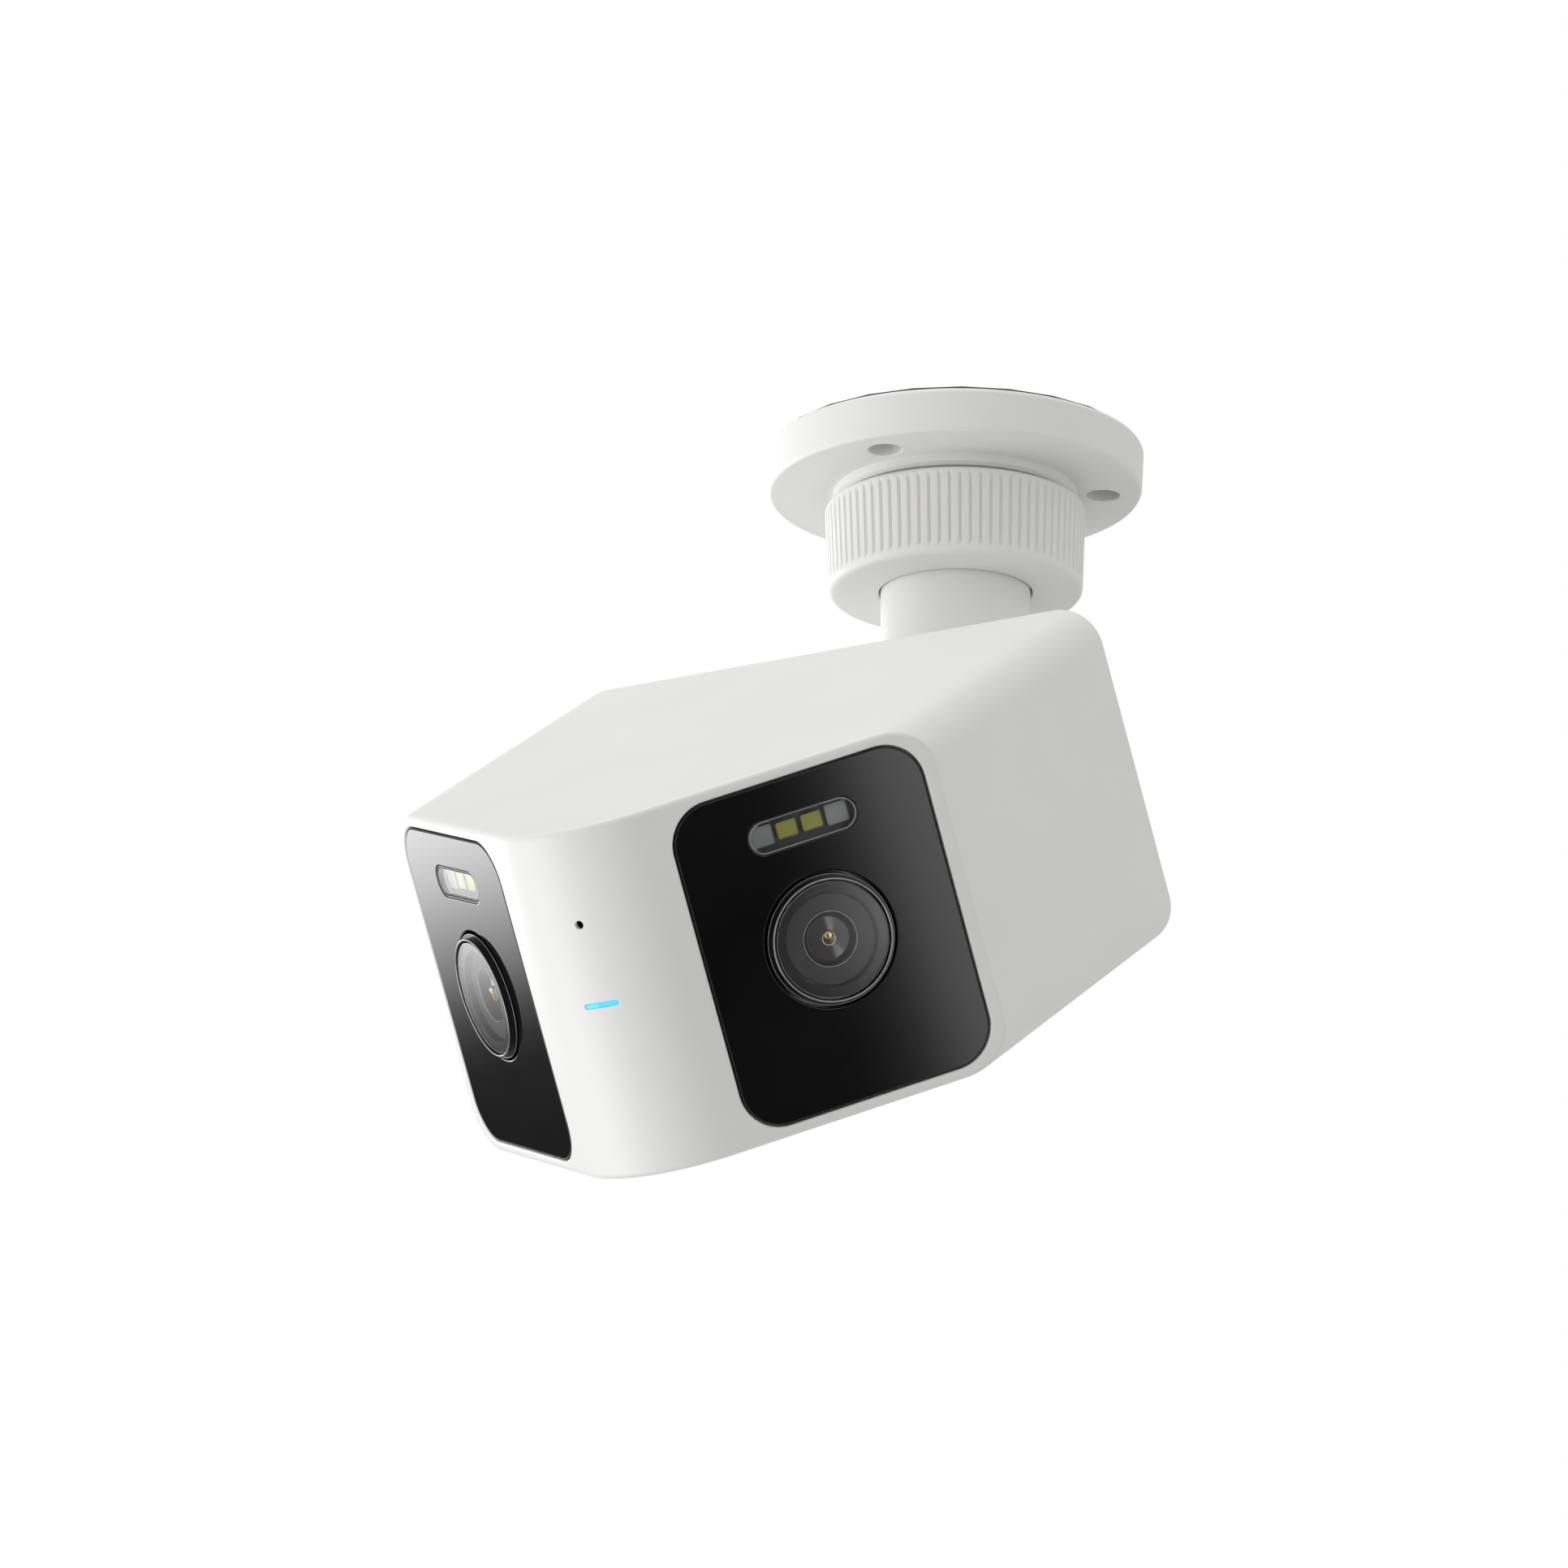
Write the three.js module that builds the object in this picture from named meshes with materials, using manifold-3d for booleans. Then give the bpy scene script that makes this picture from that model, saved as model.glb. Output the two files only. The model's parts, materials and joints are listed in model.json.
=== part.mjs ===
// Ceiling-mounted floodlight security camera: a base plate, a knurled locking ring, a swivelling post,
// and a tilting body with a V front that carries two camera windows.
// Millimetres, +Z up, the origin at the centre of the face that meets the ceiling, -Y forward.
import * as THREE from 'three';
import { mergeVertices } from 'three/addons/utils/BufferGeometryUtils.js';
import Module from 'manifold-3d';

const wasm = await Module();
wasm.setup();

const degrees = Math.PI / 180;

// ---- driving dimensions ----

// Room left between pieces that rest on or turn against each other.
const clearance = 0.3;
const runningGap = 0.1;

// Base plate and its pad.
const padThickness = 0.6;
const padInset = 1.2;
const plateRadius = 32.35;
const plateDraft = 0.35;
const plateThickness = 7.6;
const plateEdge = 1.0;
const screwEdgeDistance = 7.05;
const screwHoleRadius = 1.8;
const screwHeadRadius = 2.9;
const screwHeadDepth = 5.4;
const screwCount = 3;
const neckRadius = 19.0;
const neckBore = 14.4;
const neckLength = 12.2;
const roofThickness = 9.0;
const shoulderRadius = 21.0;
const shoulderLength = 1.9;
const shoulderChamfer = 0.6;

// Locking ring.
const ringDrop = 2.7;
const ringWall = 2.95;
const ringTaper = 0.6;
const ringLip = 2.3;
const ringEdge = 0.7;
const topCollar = 0.9;
const bottomCollar = 1.4;
const knurlCount = 78;
const knurlDepth = 0.4;
const knurlShare = 0.28;

// Post, with its flange, its spigot and the two cheeks of the tilt joint.
const postRadius = 12.8;
const flangeThickness = 2.4;
const flangeRoom = 0.8;
const washerThickness = 0.8;
const spigotRoom = 2.4;
const pivotHeight = -55.5;
const cheekTrim = 0.2;
const armBossRadius = 11.4;
const armRoofRoom = 1.0;
const tiltWasherEdge = 1.4;
const tiltWasherThickness = 0.8;
const boltRadius = 3.0;
const boltHeadOverlap = 1.4;
const boltHeadHeight = 2.6;
const boltSocketWall = 1.0;

// Body, in its own frame: the tilt pivot at 0, -Y along the nose.
const bodyPitch = 32.5;
const bodyWidth = 98.7;
const bodyHeight = 57.9;
const bodyLength = 116.55;
const bodyCorner = 7.0;
const bodyBack = -34.8;
const faceAngle = 42.5 * degrees;
const noseRadius = 20.0;
const sideEdgeRadius = 2.4;
const frontEdgeRadius = 1.1;
const backEdgeRadius = 1.3;
const frontWall = 3.4;
const sideWall = 3.0;
const rearRimWall = 1.8;

// Window panels and what stands in them, in each face's own frame.
const bezelInner = 3.47;
const bezelSide = 2.43;
const bezelTop = 2.15;
const panelCorner = 6.7;
const panelThickness = 1.5;
const panelSunk = 0.1;
const ledgeWidth = 2.6;
const mouthChamfer = 0.45;
const ledWindowBelowEdge = 8.3;
const ledEndRoom = 0.9;
const ledWindowTall = 5.3;
const ledWindowThickness = 1.1;
const ledGap = 0.7;
const ledHeight = 0.9;
const whiteLed = [3.5, 2.8];
const infraredLed = [3.7, 3.4];
const lensInset = 0.4;
const lensBelowLedWindow = 18.9;
const trimRadius = 10.05;
const trimSeat = 0.55;
const trimRim = 0.35;
const trimProud = 1.2;
const trimLedge = 0.1;
const glassSeat = 1.7;
const glassThickness = 0.6;
const barrelStep = 1.7;
const barrelWall = 1.6;
const barrelFront = -0.9;
const barrelFlange = 1.1;
const barrelLength = 12.9;
const elementRise = 0.8;
const elementTip = 0.8;

// What holds each camera together behind its window.
const bracketSetback = 1.9;
const bracketThickness = 1.5;
const bracketMargin = 2.8;
const holderWidth = 21.0;
const holderHeight = 17.0;
const holderBackWall = 3.0;
const filterThickness = 0.9;
const filterRoom = 0.35;
const filterHoleRadius = 3.0;
const filterWidth = 16.4;
const filterHeight = 9.6;
const filterTravel = 7.0;
const sensorBoardMargin = 1.0;
const sensorBoardOverhang = 1.5;
const boardThickness = 1.0;

// Rear cover, its arm, its screws and the cable gland.
const coverThickness = 3.3;
const armHalfWidth = 6.4;
const armRootHalfHeight = 13.0;
const gasketWidth = 0.9;
const gasketThickness = 0.8;
const bossRadius = 4.4;
const bossInset = 6.8;
const bossLength = 14.0;
const coverScrewRadius = 1.4;
const coverScrewLength = 10.6;
const coverScrewHead = 2.7;
const glandX = 26.0;
const glandZ = -12.0;
const glandRadius = 5.8;
const glandStem = 3.9;
const glandBore = 1.9;
const glandProud = 6.0;

// Nose: microphone hole and status light.
const microphoneZ = 13.4;
const microphoneHoleRadius = 0.7;
const microphoneRadius = 2.4;
const microphoneHeight = 2.2;
const statusWidth = 6.0;
const statusHeight = 0.8;
const statusDepth = 6.0;
const noseBoardDepth = 8.0;

// Boards and speaker inside the body.
const chassisSideRoom = 4.55;
const chassisTop = -2.0;
const chassisFrontRoom = 16.13;
const chassisRearRoom = 6.2;
const chassisThickness = 2.0;
const chassisFlange = 16.0;
const standoffHeight = 4.7;
const mainBoardThickness = 1.6;
const boardSocket = [14.0, 7.0, 4.8];
const coilRadius = 5.0;
const coilHeight = 4.4;
const shieldHeight = 3.4;
const shieldSideRoom = 20.0;
const shieldEndRoom = 20.0;
const shieldFrontRoom = 4.0;
const boardMargin = 4.8;
const standoffInset = 5.0;
const standoffRadius = 2.4;
const speakerBeforeDoor = 24.0;
const speakerRadius = 12.6;
const speakerRim = 4.6;
const speakerHeight = 6.1;
const speakerHole = 0.8;
const speakerPitch = 3.2;

// Service door in the underside, with the parts behind it.
const doorWidth = 27.0;
const doorLength = 15.0;
const doorThickness = 1.8;
const doorSetback = 18.2;
const doorPivotRadius = 0.65;
const doorPivotLength = 1.6;
const serviceBoardLift = 9.6;
const cardSocket = [15.0, 13.0, 2.2];
const cardSocketX = -7.0;
const switchWidth = 6.2;
const switchHeight = 3.4;
const resetRadius = 1.6;
const resetLength = 3.2;
const resetTravel = 0.8;
const resetX = 8.0;

// ---- places that follow from the sizes above ----

const plateUnderside = -padThickness - plateThickness;
const screwCircleRadius = plateRadius - screwEdgeDistance;
const neckEnd = plateUnderside - neckLength;
const ringTop = plateUnderside - ringDrop;
const ringBore = neckRadius + runningGap + clearance;
const ringTopRadius = ringBore + ringWall;
const ringBottomRadius = ringTopRadius - ringTaper;
const ringOpening = postRadius + clearance;
const washerTop = neckEnd - runningGap;
const flangeTop = washerTop - washerThickness - runningGap;
const flangeBottom = flangeTop - flangeThickness;
const flangeRadius = ringBore - flangeRoom;
const ringLipTop = flangeBottom - 2 * runningGap;
const ringUnderside = ringLipTop - ringLip;
const knurlTop = ringTop - topCollar;
const knurlBottom = ringUnderside + bottomCollar;
const socketRoof = -padThickness - roofThickness;
const spigotTop = socketRoof - spigotRoom;
const forkRoof = pivotHeight + armBossRadius + armRoofRoom;
const cheekRadius = postRadius - cheekTrim;
const cheekInner = armHalfWidth + tiltWasherThickness + 2 * runningGap;
const tiltWasherRadius = armBossRadius - tiltWasherEdge;
const boltHoleRadius = boltRadius + clearance + runningGap;
const boltHeadRadius = boltRadius + boltHeadOverlap;
const boltHeadPocket = boltHeadRadius + 0.5;
const boltSocketRadius = boltRadius - boltSocketWall;
const apexY = bodyBack - bodyLength;
const vDepth = bodyWidth / 2 * Math.tan(faceAngle);
const panelInnerEdge = noseRadius * Math.tan(faceAngle) + bezelInner;
const panelWidth = bodyWidth / 2 / Math.cos(faceAngle) - panelInnerEdge - bezelSide;
const panelHeight = bodyHeight - 2 * bezelTop;
const panelFront = -panelSunk;
const ledWindowHeight = panelHeight / 2 - ledWindowBelowEdge;
const ledPitch = (infraredLed[0] + whiteLed[0]) / 2 + ledGap;
const ledWindowWidth = 3 * ledPitch + infraredLed[0] + 2 * ledEndRoom;
const lensDrop = ledWindowHeight - lensBelowLedWindow;
const panelBack = panelFront - panelThickness;
const recessDepth = -panelBack + clearance;
const trimSeatRadius = trimRadius + trimSeat;
const lensHoleRadius = trimSeatRadius + clearance + runningGap;
const glassRadius = trimRadius - trimRim - clearance;
const trimBore = glassRadius - glassSeat;
const barrelRadius = trimBore - barrelStep;
const barrelBore = barrelRadius - barrelWall;
const barrelBack = barrelFront - barrelLength;
const bracketFront = -frontWall - bracketSetback;
const trimBack = bracketFront + clearance;
const holderFront = bracketFront - bracketThickness - clearance;
const filterSlotFront = barrelBack - 2 * clearance;
const filterSlotHeight = filterThickness + 2 * filterRoom;
const holderBack = filterSlotFront - filterSlotHeight - holderBackWall;
const rearStep = bodyBack - clearance - coverThickness - clearance - gasketThickness - clearance;
const coverBack = bodyBack - clearance;
const coverFront = coverBack - coverThickness;
const coverScrewX = bodyWidth / 2 - bossInset;
const coverScrewZ = bodyHeight / 2 - bossInset;
const noseFrontY = apexY + noseRadius / Math.cos(faceAngle) - noseRadius;
const noseBoardY = noseFrontY + noseBoardDepth;
const chassisFront = apexY + vDepth + chassisFrontRoom;
const chassisRear = rearStep - chassisRearRoom;
const chassisLength = chassisRear - chassisFront;
const chassisY = (chassisRear + chassisFront) / 2;
const chassisWidth = bodyWidth - 2 * sideWall - 2 * chassisSideRoom;
const mainBoardWidth = chassisWidth - 2 * chassisThickness - 2 * boardMargin;
const mainBoardUnderside = chassisTop + standoffHeight + clearance;
const floorZ = -bodyHeight / 2 + sideWall;
const doorHingeY = bodyBack - doorSetback;
const doorHingeZ = -bodyHeight / 2 + doorThickness / 2 + clearance;
const serviceBoardZ = -bodyHeight / 2 + serviceBoardLift;
const resetY = doorHingeY - doorLength / 2;
const speakerY = doorHingeY - doorLength - speakerBeforeDoor;

// ---- materials ----

function material(color, roughness, metalness, extra = {}) {
  return new THREE.MeshStandardMaterial({ color, roughness, metalness, ...extra });
}

const shellWhite = () => material(0xebebea, 0.5, 0.0);
const padGrey = () => material(0x4a4a4c, 0.9, 0.0);
const washerBlack = () => material(0x202022, 0.7, 0.0);
const steel = () => material(0xb4b6b8, 0.35, 0.9);
const panelBlack = () => material(0x0c0c0d, 0.12, 0.0);
const clearPlastic = () => material(0xcdd2d4, 0.08, 0.0, { transparent: true, opacity: 0.35 });
const trimBlack = () => material(0x2a2a2c, 0.25, 0.3);
const glassGrey = () => material(0x8a8f94, 0.05, 0.0, { transparent: true, opacity: 0.45 });
const barrelBlack = () => material(0x151516, 0.5, 0.1);
const lensCoating = () => material(0x6b5a35, 0.05, 0.2);
const phosphorYellow = () => material(0xc9c544, 0.5, 0.0);
const infraredGrey = () => material(0x8a8a88, 0.3, 0.1);
const boardGreen = () => material(0x1f5a3a, 0.5, 0.0);
const boardWhite = () => material(0xdedfdc, 0.5, 0.0);
const aluminium = () => material(0xa9abad, 0.4, 0.9);
const filterRed = () => material(0x6a2f2c, 0.2, 0.1);
const rubberBlack = () => material(0x1b1b1c, 0.85, 0.0);
const statusBlue = () => material(0x3cc8ff, 0.3, 0.0, { emissive: 0x2aa8ff, emissiveIntensity: 0.8 });
const chipBlack = () => material(0x19191b, 0.4, 0.1);

// ---- small geometry helpers ----

function extrudeZ(shape, bottom, top, curveSegments = 12) {
  const depth = top - bottom;
  const geometry = new THREE.ExtrudeGeometry(shape, { depth, bevelEnabled: false, curveSegments });
  return geometry.translate(0, 0, bottom);
}

function circleShape(radius, holeRadius = 0, x = 0, y = 0) {
  const shape = new THREE.Shape();
  shape.absarc(x, y, radius, 0, 2 * Math.PI, false);
  if (holeRadius > 0) {
    shape.holes.push(circlePath(x, y, holeRadius));
  }
  return shape;
}

function circlePath(x, y, radius) {
  const path = new THREE.Path();
  path.absarc(x, y, radius, 0, 2 * Math.PI, true);
  return path;
}

function roundedRectangle(width, height, corner, x = 0, y = 0) {
  const shape = new THREE.Shape();
  const right = x + width / 2 - corner;
  const left = x - width / 2 + corner;
  const top = y + height / 2 - corner;
  const bottom = y - height / 2 + corner;
  shape.absarc(right, bottom, corner, -Math.PI / 2, 0, false);
  shape.absarc(right, top, corner, 0, Math.PI / 2, false);
  shape.absarc(left, top, corner, Math.PI / 2, Math.PI, false);
  shape.absarc(left, bottom, corner, Math.PI, 1.5 * Math.PI, false);
  shape.closePath();
  return shape;
}

function boxAt(width, depth, height, x, y, z) {
  return new THREE.BoxGeometry(width, depth, height).translate(x, y, z);
}

// Turns a closed profile of [radius, height] pairs about the Z axis.
function turned(profile, segments = 48) {
  const points = profile.map(([radius, height]) => new THREE.Vector2(radius, height));
  if (THREE.ShapeUtils.area(points) < 0) {
    points.reverse();
  }
  if (points[0].x > 0 || points.at(-1).x > 0) {
    points.push(points[0].clone());
  }
  return new THREE.LatheGeometry(points, segments).rotateX(Math.PI / 2);
}

// Lays a shape drawn in Z upright, so that its axis runs along Y or along X.
function alongY(geometry) {
  return geometry.rotateX(Math.PI / 2);
}

function alongX(geometry) {
  return geometry.rotateY(Math.PI / 2);
}

function solid(geometry) {
  const plain = geometry.clone();
  plain.deleteAttribute('normal');
  plain.deleteAttribute('uv');
  const merged = mergeVertices(plain, 1e-4);
  const mesh = new wasm.Mesh({
    numProp: 3,
    vertProperties: new Float32Array(merged.attributes.position.array),
    triVerts: new Uint32Array(merged.index.array),
  });
  return new wasm.Manifold(mesh);
}

function geometryOf(manifold) {
  const mesh = manifold.getMesh();
  const geometry = new THREE.BufferGeometry();
  geometry.setAttribute('position', new THREE.BufferAttribute(new Float32Array(mesh.vertProperties), 3));
  geometry.setIndex(new THREE.BufferAttribute(new Uint32Array(mesh.triVerts), 1));
  const flat = geometry.toNonIndexed();
  flat.computeVertexNormals();
  return flat;
}

function joined(...geometries) {
  const [first, ...others] = geometries.map(solid);
  return geometryOf(others.reduce((sum, piece) => sum.add(piece), first));
}

function cutFrom(geometry, ...cutters) {
  return geometryOf(cutters.map(solid).reduce((rest, cutter) => rest.subtract(cutter), solid(geometry)));
}

function common(first, second) {
  return geometryOf(solid(first).intersect(solid(second)));
}

function piece(parent, name, geometry, look) {
  const mesh = new THREE.Mesh(geometry, look);
  mesh.name = name;
  parent.add(mesh);
  return mesh;
}

// ---- mount: pad, plate, ring, swivel washer ----

function screwPositions() {
  return Array.from({ length: screwCount }, (_, index) => {
    const angle = -Math.PI / 2 + (index * 2 * Math.PI) / screwCount;
    return [screwCircleRadius * Math.cos(angle), screwCircleRadius * Math.sin(angle)];
  });
}

function mountPad() {
  const shape = circleShape(plateRadius - padInset);
  for (const [x, y] of screwPositions()) {
    shape.holes.push(circlePath(x, y, screwHoleRadius));
  }
  return extrudeZ(shape, -padThickness, 0, 12);
}

function mountPlate() {
  const bottomRadius = plateRadius - plateDraft;
  const shoulderEnd = plateUnderside - shoulderLength;
  const body = turned([
    [0, -padThickness],
    [0, socketRoof],
    [neckBore, socketRoof],
    [neckBore, neckEnd],
    [neckRadius, neckEnd],
    [neckRadius, shoulderEnd],
    [shoulderRadius, shoulderEnd + shoulderChamfer],
    [shoulderRadius, plateUnderside],
    [bottomRadius - plateEdge, plateUnderside],
    [bottomRadius - plateEdge * 0.3, plateUnderside + plateEdge * 0.3],
    [bottomRadius, plateUnderside + plateEdge],
    [plateRadius, -padThickness - plateEdge * 0.5],
    [plateRadius - plateEdge * 0.5, -padThickness],
  ], 64);
  const below = plateUnderside - 1;
  const cutters = screwPositions().flatMap(([x, y]) => [
    extrudeZ(circleShape(screwHoleRadius, 0, x, y), below, 1, 10),
    extrudeZ(circleShape(screwHeadRadius, 0, x, y), below, plateUnderside + screwHeadDepth, 16),
  ]);
  return cutFrom(body, ...cutters);
}

// A grooved outline, drawn out along Z and narrowed towards its lower end.
function knurledBand() {
  const outline = [];
  const step = (2 * Math.PI) / knurlCount;
  for (let index = 0; index < knurlCount; index += 1) {
    const centre = index * step;
    const groove = step * knurlShare;
    for (const [angle, radius] of [
      [centre - groove / 2, ringTopRadius],
      [centre, ringTopRadius - knurlDepth],
      [centre + groove / 2, ringTopRadius],
    ]) {
      outline.push(new THREE.Vector2(radius * Math.cos(angle), radius * Math.sin(angle)));
    }
  }
  const shape = new THREE.Shape(outline);
  const band = extrudeZ(shape, knurlBottom, knurlTop);
  const points = band.attributes.position;
  for (let index = 0; index < points.count; index += 1) {
    const down = (knurlTop - points.getZ(index)) / (knurlTop - knurlBottom);
    const narrow = 1 + down * (ringBottomRadius / ringTopRadius - 1);
    points.setX(index, points.getX(index) * narrow);
    points.setY(index, points.getY(index) * narrow);
  }
  return band;
}

function lockingRing() {
  const underKnurl = knurlDepth + 0.8;
  const collars = turned([
    [0, ringTop],
    [ringTopRadius - ringEdge, ringTop],
    [ringTopRadius - ringEdge * 0.3, ringTop - ringEdge * 0.5],
    [ringTopRadius - 0.1, knurlTop - 0.1],
    [ringTopRadius - underKnurl, knurlTop - 0.2],
    [ringBottomRadius - underKnurl, knurlBottom + 0.2],
    [ringBottomRadius, knurlBottom + 0.1],
    [ringBottomRadius - 0.1, ringUnderside + ringEdge],
    [ringBottomRadius - ringEdge, ringUnderside],
    [0, ringUnderside],
  ], 60);
  const bore = turned([
    [0, ringTop + 1],
    [ringBore, ringTop + 1],
    [ringBore, ringLipTop],
    [ringOpening, ringLipTop],
    [ringOpening, ringUnderside - 1],
    [0, ringUnderside - 1],
  ], 48);
  return cutFrom(joined(collars, knurledBand()), bore);
}

function swivelWasher() {
  const outer = neckRadius - runningGap * 2;
  return extrudeZ(circleShape(outer, neckBore + runningGap * 2), washerTop - washerThickness, washerTop, 16);
}

// ---- post and tilt joint ----

function post() {
  const spigotRadius = neckBore - clearance - runningGap;
  const column = turned([
    [0, spigotTop],
    [spigotRadius - 0.6, spigotTop],
    [spigotRadius, spigotTop - 0.6],
    [spigotRadius, flangeTop],
    [flangeRadius, flangeTop],
    [flangeRadius, flangeBottom],
    [postRadius, flangeBottom],
    [postRadius, pivotHeight],
    [0, pivotHeight],
  ], 48);
  const foot = alongX(extrudeZ(circleShape(cheekRadius), -postRadius, postRadius, 16))
    .translate(0, 0, pivotHeight);
  const footBound = turned([
    [0, pivotHeight + 4],
    [postRadius, pivotHeight + 4],
    [postRadius, pivotHeight - cheekRadius - 1],
    [0, pivotHeight - cheekRadius - 1],
  ], 48);
  const whole = joined(column, common(foot, footBound));
  const slotHeight = forkRoof - pivotHeight + cheekRadius + 4;
  const slot = boxAt(2 * cheekInner, 4 * postRadius, slotHeight, 0, 0, forkRoof - slotHeight / 2);
  const through = 2 * postRadius;
  const boltHole = alongX(extrudeZ(circleShape(boltHoleRadius), -through, through, 12))
    .translate(0, 0, pivotHeight);
  const pocketStart = postRadius - boltHeadHeight - clearance;
  const pockets = [[pocketStart, through], [-through, -pocketStart]].map(([from, to]) => (
    alongX(extrudeZ(circleShape(boltHeadPocket), from, to, 12)).translate(0, 0, pivotHeight)
  ));
  return cutFrom(whole, slot, boltHole, ...pockets);
}

function tiltWasher(side) {
  const middle = side * (armHalfWidth + cheekInner) / 2;
  const halfThickness = tiltWasherThickness / 2;
  const disc = extrudeZ(circleShape(tiltWasherRadius, boltHoleRadius), -halfThickness, halfThickness, 16);
  return alongX(disc).translate(middle, 0, pivotHeight);
}

function tiltBolt() {
  const headStart = postRadius - boltHeadHeight;
  const shank = extrudeZ(circleShape(boltRadius), -headStart - 0.2, headStart + 0.5, 12);
  const head = extrudeZ(circleShape(boltHeadRadius), headStart, postRadius - runningGap, 12);
  const socket = extrudeZ(circleShape(boltSocketRadius), postRadius - 1.8, postRadius + 1, 3);
  return alongX(cutFrom(joined(shank, head), socket)).translate(0, 0, pivotHeight);
}

function tiltNut() {
  const headStart = postRadius - boltHeadHeight;
  const shape = circleShape(boltHeadRadius, boltSocketRadius);
  const nut = extrudeZ(shape, -postRadius + runningGap, -headStart, 12);
  const shankEnd = extrudeZ(circleShape(boltRadius + runningGap), -headStart - 0.2 - runningGap, 0, 12);
  return alongX(cutFrom(nut, shankEnd)).translate(0, 0, pivotHeight);
}

// ---- body shell ----

// The body seen from above: a rounded nose, two slanted faces, straight sides.
function planShape(halfWidth, apex, nose, sideRadius, back, backRadius) {
  const shape = new THREE.Shape();
  const faceNormal = faceAngle - Math.PI / 2;
  const sideY = apex + (halfWidth - sideRadius) * Math.tan(faceAngle) + sideRadius / Math.cos(faceAngle);
  const sideX = halfWidth - sideRadius;
  const backX = halfWidth - backRadius;
  const backY = back - backRadius;
  shape.absarc(0, apex + nose / Math.cos(faceAngle), nose, -Math.PI - faceNormal, faceNormal, false);
  shape.absarc(sideX, sideY, sideRadius, faceNormal, 0, false);
  shape.absarc(backX, backY, backRadius, 0, Math.PI / 2, false);
  shape.absarc(-backX, backY, backRadius, Math.PI / 2, Math.PI, false);
  shape.absarc(-sideX, sideY, sideRadius, Math.PI, Math.PI - faceNormal, false);
  shape.closePath();
  return shape;
}

// The plan drawn in by an amount all round, laid at one height.
function planRing(inset, height) {
  const sharp = 0.05;
  const plan = planShape(
    bodyWidth / 2 - inset,
    apexY + inset / Math.cos(faceAngle),
    noseRadius - inset,
    Math.max(sideEdgeRadius - inset, sharp),
    bodyBack - inset,
    Math.max(backEdgeRadius - inset, sharp),
  );
  const points = plan.getPoints(6).map(({ x, y }) => [x, y, height]);
  return points.slice(0, -1);
}

// Closes a stack of rings with equal point counts into one solid. The end rings are convex.
function lofted(rings) {
  const count = rings[0].length;
  const index = [];
  for (let level = 0; level < rings.length - 1; level += 1) {
    for (let here = 0; here < count; here += 1) {
      const next = (here + 1) % count;
      const [low, lowNext] = [level * count + here, level * count + next];
      index.push(low, lowNext, lowNext + count, low, lowNext + count, low + count);
    }
  }
  const topStart = (rings.length - 1) * count;
  for (let here = 1; here < count - 1; here += 1) {
    index.push(0, here + 1, here);
    index.push(topStart, topStart + here, topStart + here + 1);
  }
  const geometry = new THREE.BufferGeometry();
  geometry.setAttribute('position', new THREE.Float32BufferAttribute(rings.flat(2), 3));
  geometry.setIndex(index);
  return geometry;
}

function bodyBlock() {
  const steps = [0, 1, 2];
  const upper = steps.map((step) => {
    const angle = (step * Math.PI) / 2 / (steps.length - 1);
    return [
      frontEdgeRadius * (1 - Math.cos(angle)),
      bodyHeight / 2 - frontEdgeRadius * (1 - Math.sin(angle)),
    ];
  });
  const lower = upper.map(([inset, height]) => [inset, -height]).reverse();
  const seenFromAbove = lofted([...lower, ...upper].map(([inset, height]) => planRing(inset, height)));
  const profile = roundedRectangle(bodyWidth, bodyHeight, bodyCorner);
  const seenFromFront = alongY(extrudeZ(profile, 0, bodyLength + 20, 4));
  return common(seenFromAbove, seenFromFront.translate(0, bodyBack + 1, 0));
}

function bodyHollow() {
  const plan = planShape(
    bodyWidth / 2 - sideWall,
    apexY + frontWall / Math.cos(faceAngle),
    noseRadius - frontWall,
    1.0,
    bodyBack + 4,
    0.5,
  );
  const tall = bodyHeight / 2 - sideWall;
  const seenFromAbove = extrudeZ(plan, -tall, tall, 4);
  const profile = roundedRectangle(
    bodyWidth - 2 * sideWall,
    bodyHeight - 2 * sideWall,
    bodyCorner - sideWall,
  );
  const seenFromFront = alongY(extrudeZ(profile, 0, bodyLength + 20, 2)).translate(0, bodyBack + 4, 0);
  return common(seenFromAbove, seenFromFront);
}

function faceMatrix(side) {
  const along = panelInnerEdge + panelWidth / 2;
  const centre = new THREE.Vector3(
    side * along * Math.cos(faceAngle),
    apexY + along * Math.sin(faceAngle),
    0,
  );
  const right = new THREE.Vector3(Math.cos(faceAngle), side * Math.sin(faceAngle), 0);
  const normal = new THREE.Vector3(side * Math.sin(faceAngle), -Math.cos(faceAngle), 0);
  const up = new THREE.Vector3(0, 0, 1);
  return new THREE.Matrix4().makeBasis(right, up, normal).setPosition(centre);
}

function windowCutters(side) {
  const recess = roundedRectangle(
    panelWidth + 2 * clearance,
    panelHeight + 2 * clearance,
    panelCorner + clearance,
  );
  const mouth = new THREE.ExtrudeGeometry(recess, {
    depth: 4,
    curveSegments: 4,
    bevelEnabled: true,
    bevelThickness: mouthChamfer,
    bevelSize: mouthChamfer,
    bevelOffset: 0,
    bevelSegments: 1,
  });
  const through = roundedRectangle(
    panelWidth - 2 * ledgeWidth,
    panelHeight - 2 * ledgeWidth,
    panelCorner - ledgeWidth / 2,
  );
  const inside = -2 * frontWall;
  return [extrudeZ(recess, -recessDepth, 2, 4), mouth, extrudeZ(through, inside, 0, 2)]
    .map((cutter) => cutter.applyMatrix4(faceMatrix(side)));
}

const coverCorners = [[1, 1], [-1, 1], [-1, -1], [1, -1]];

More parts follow.
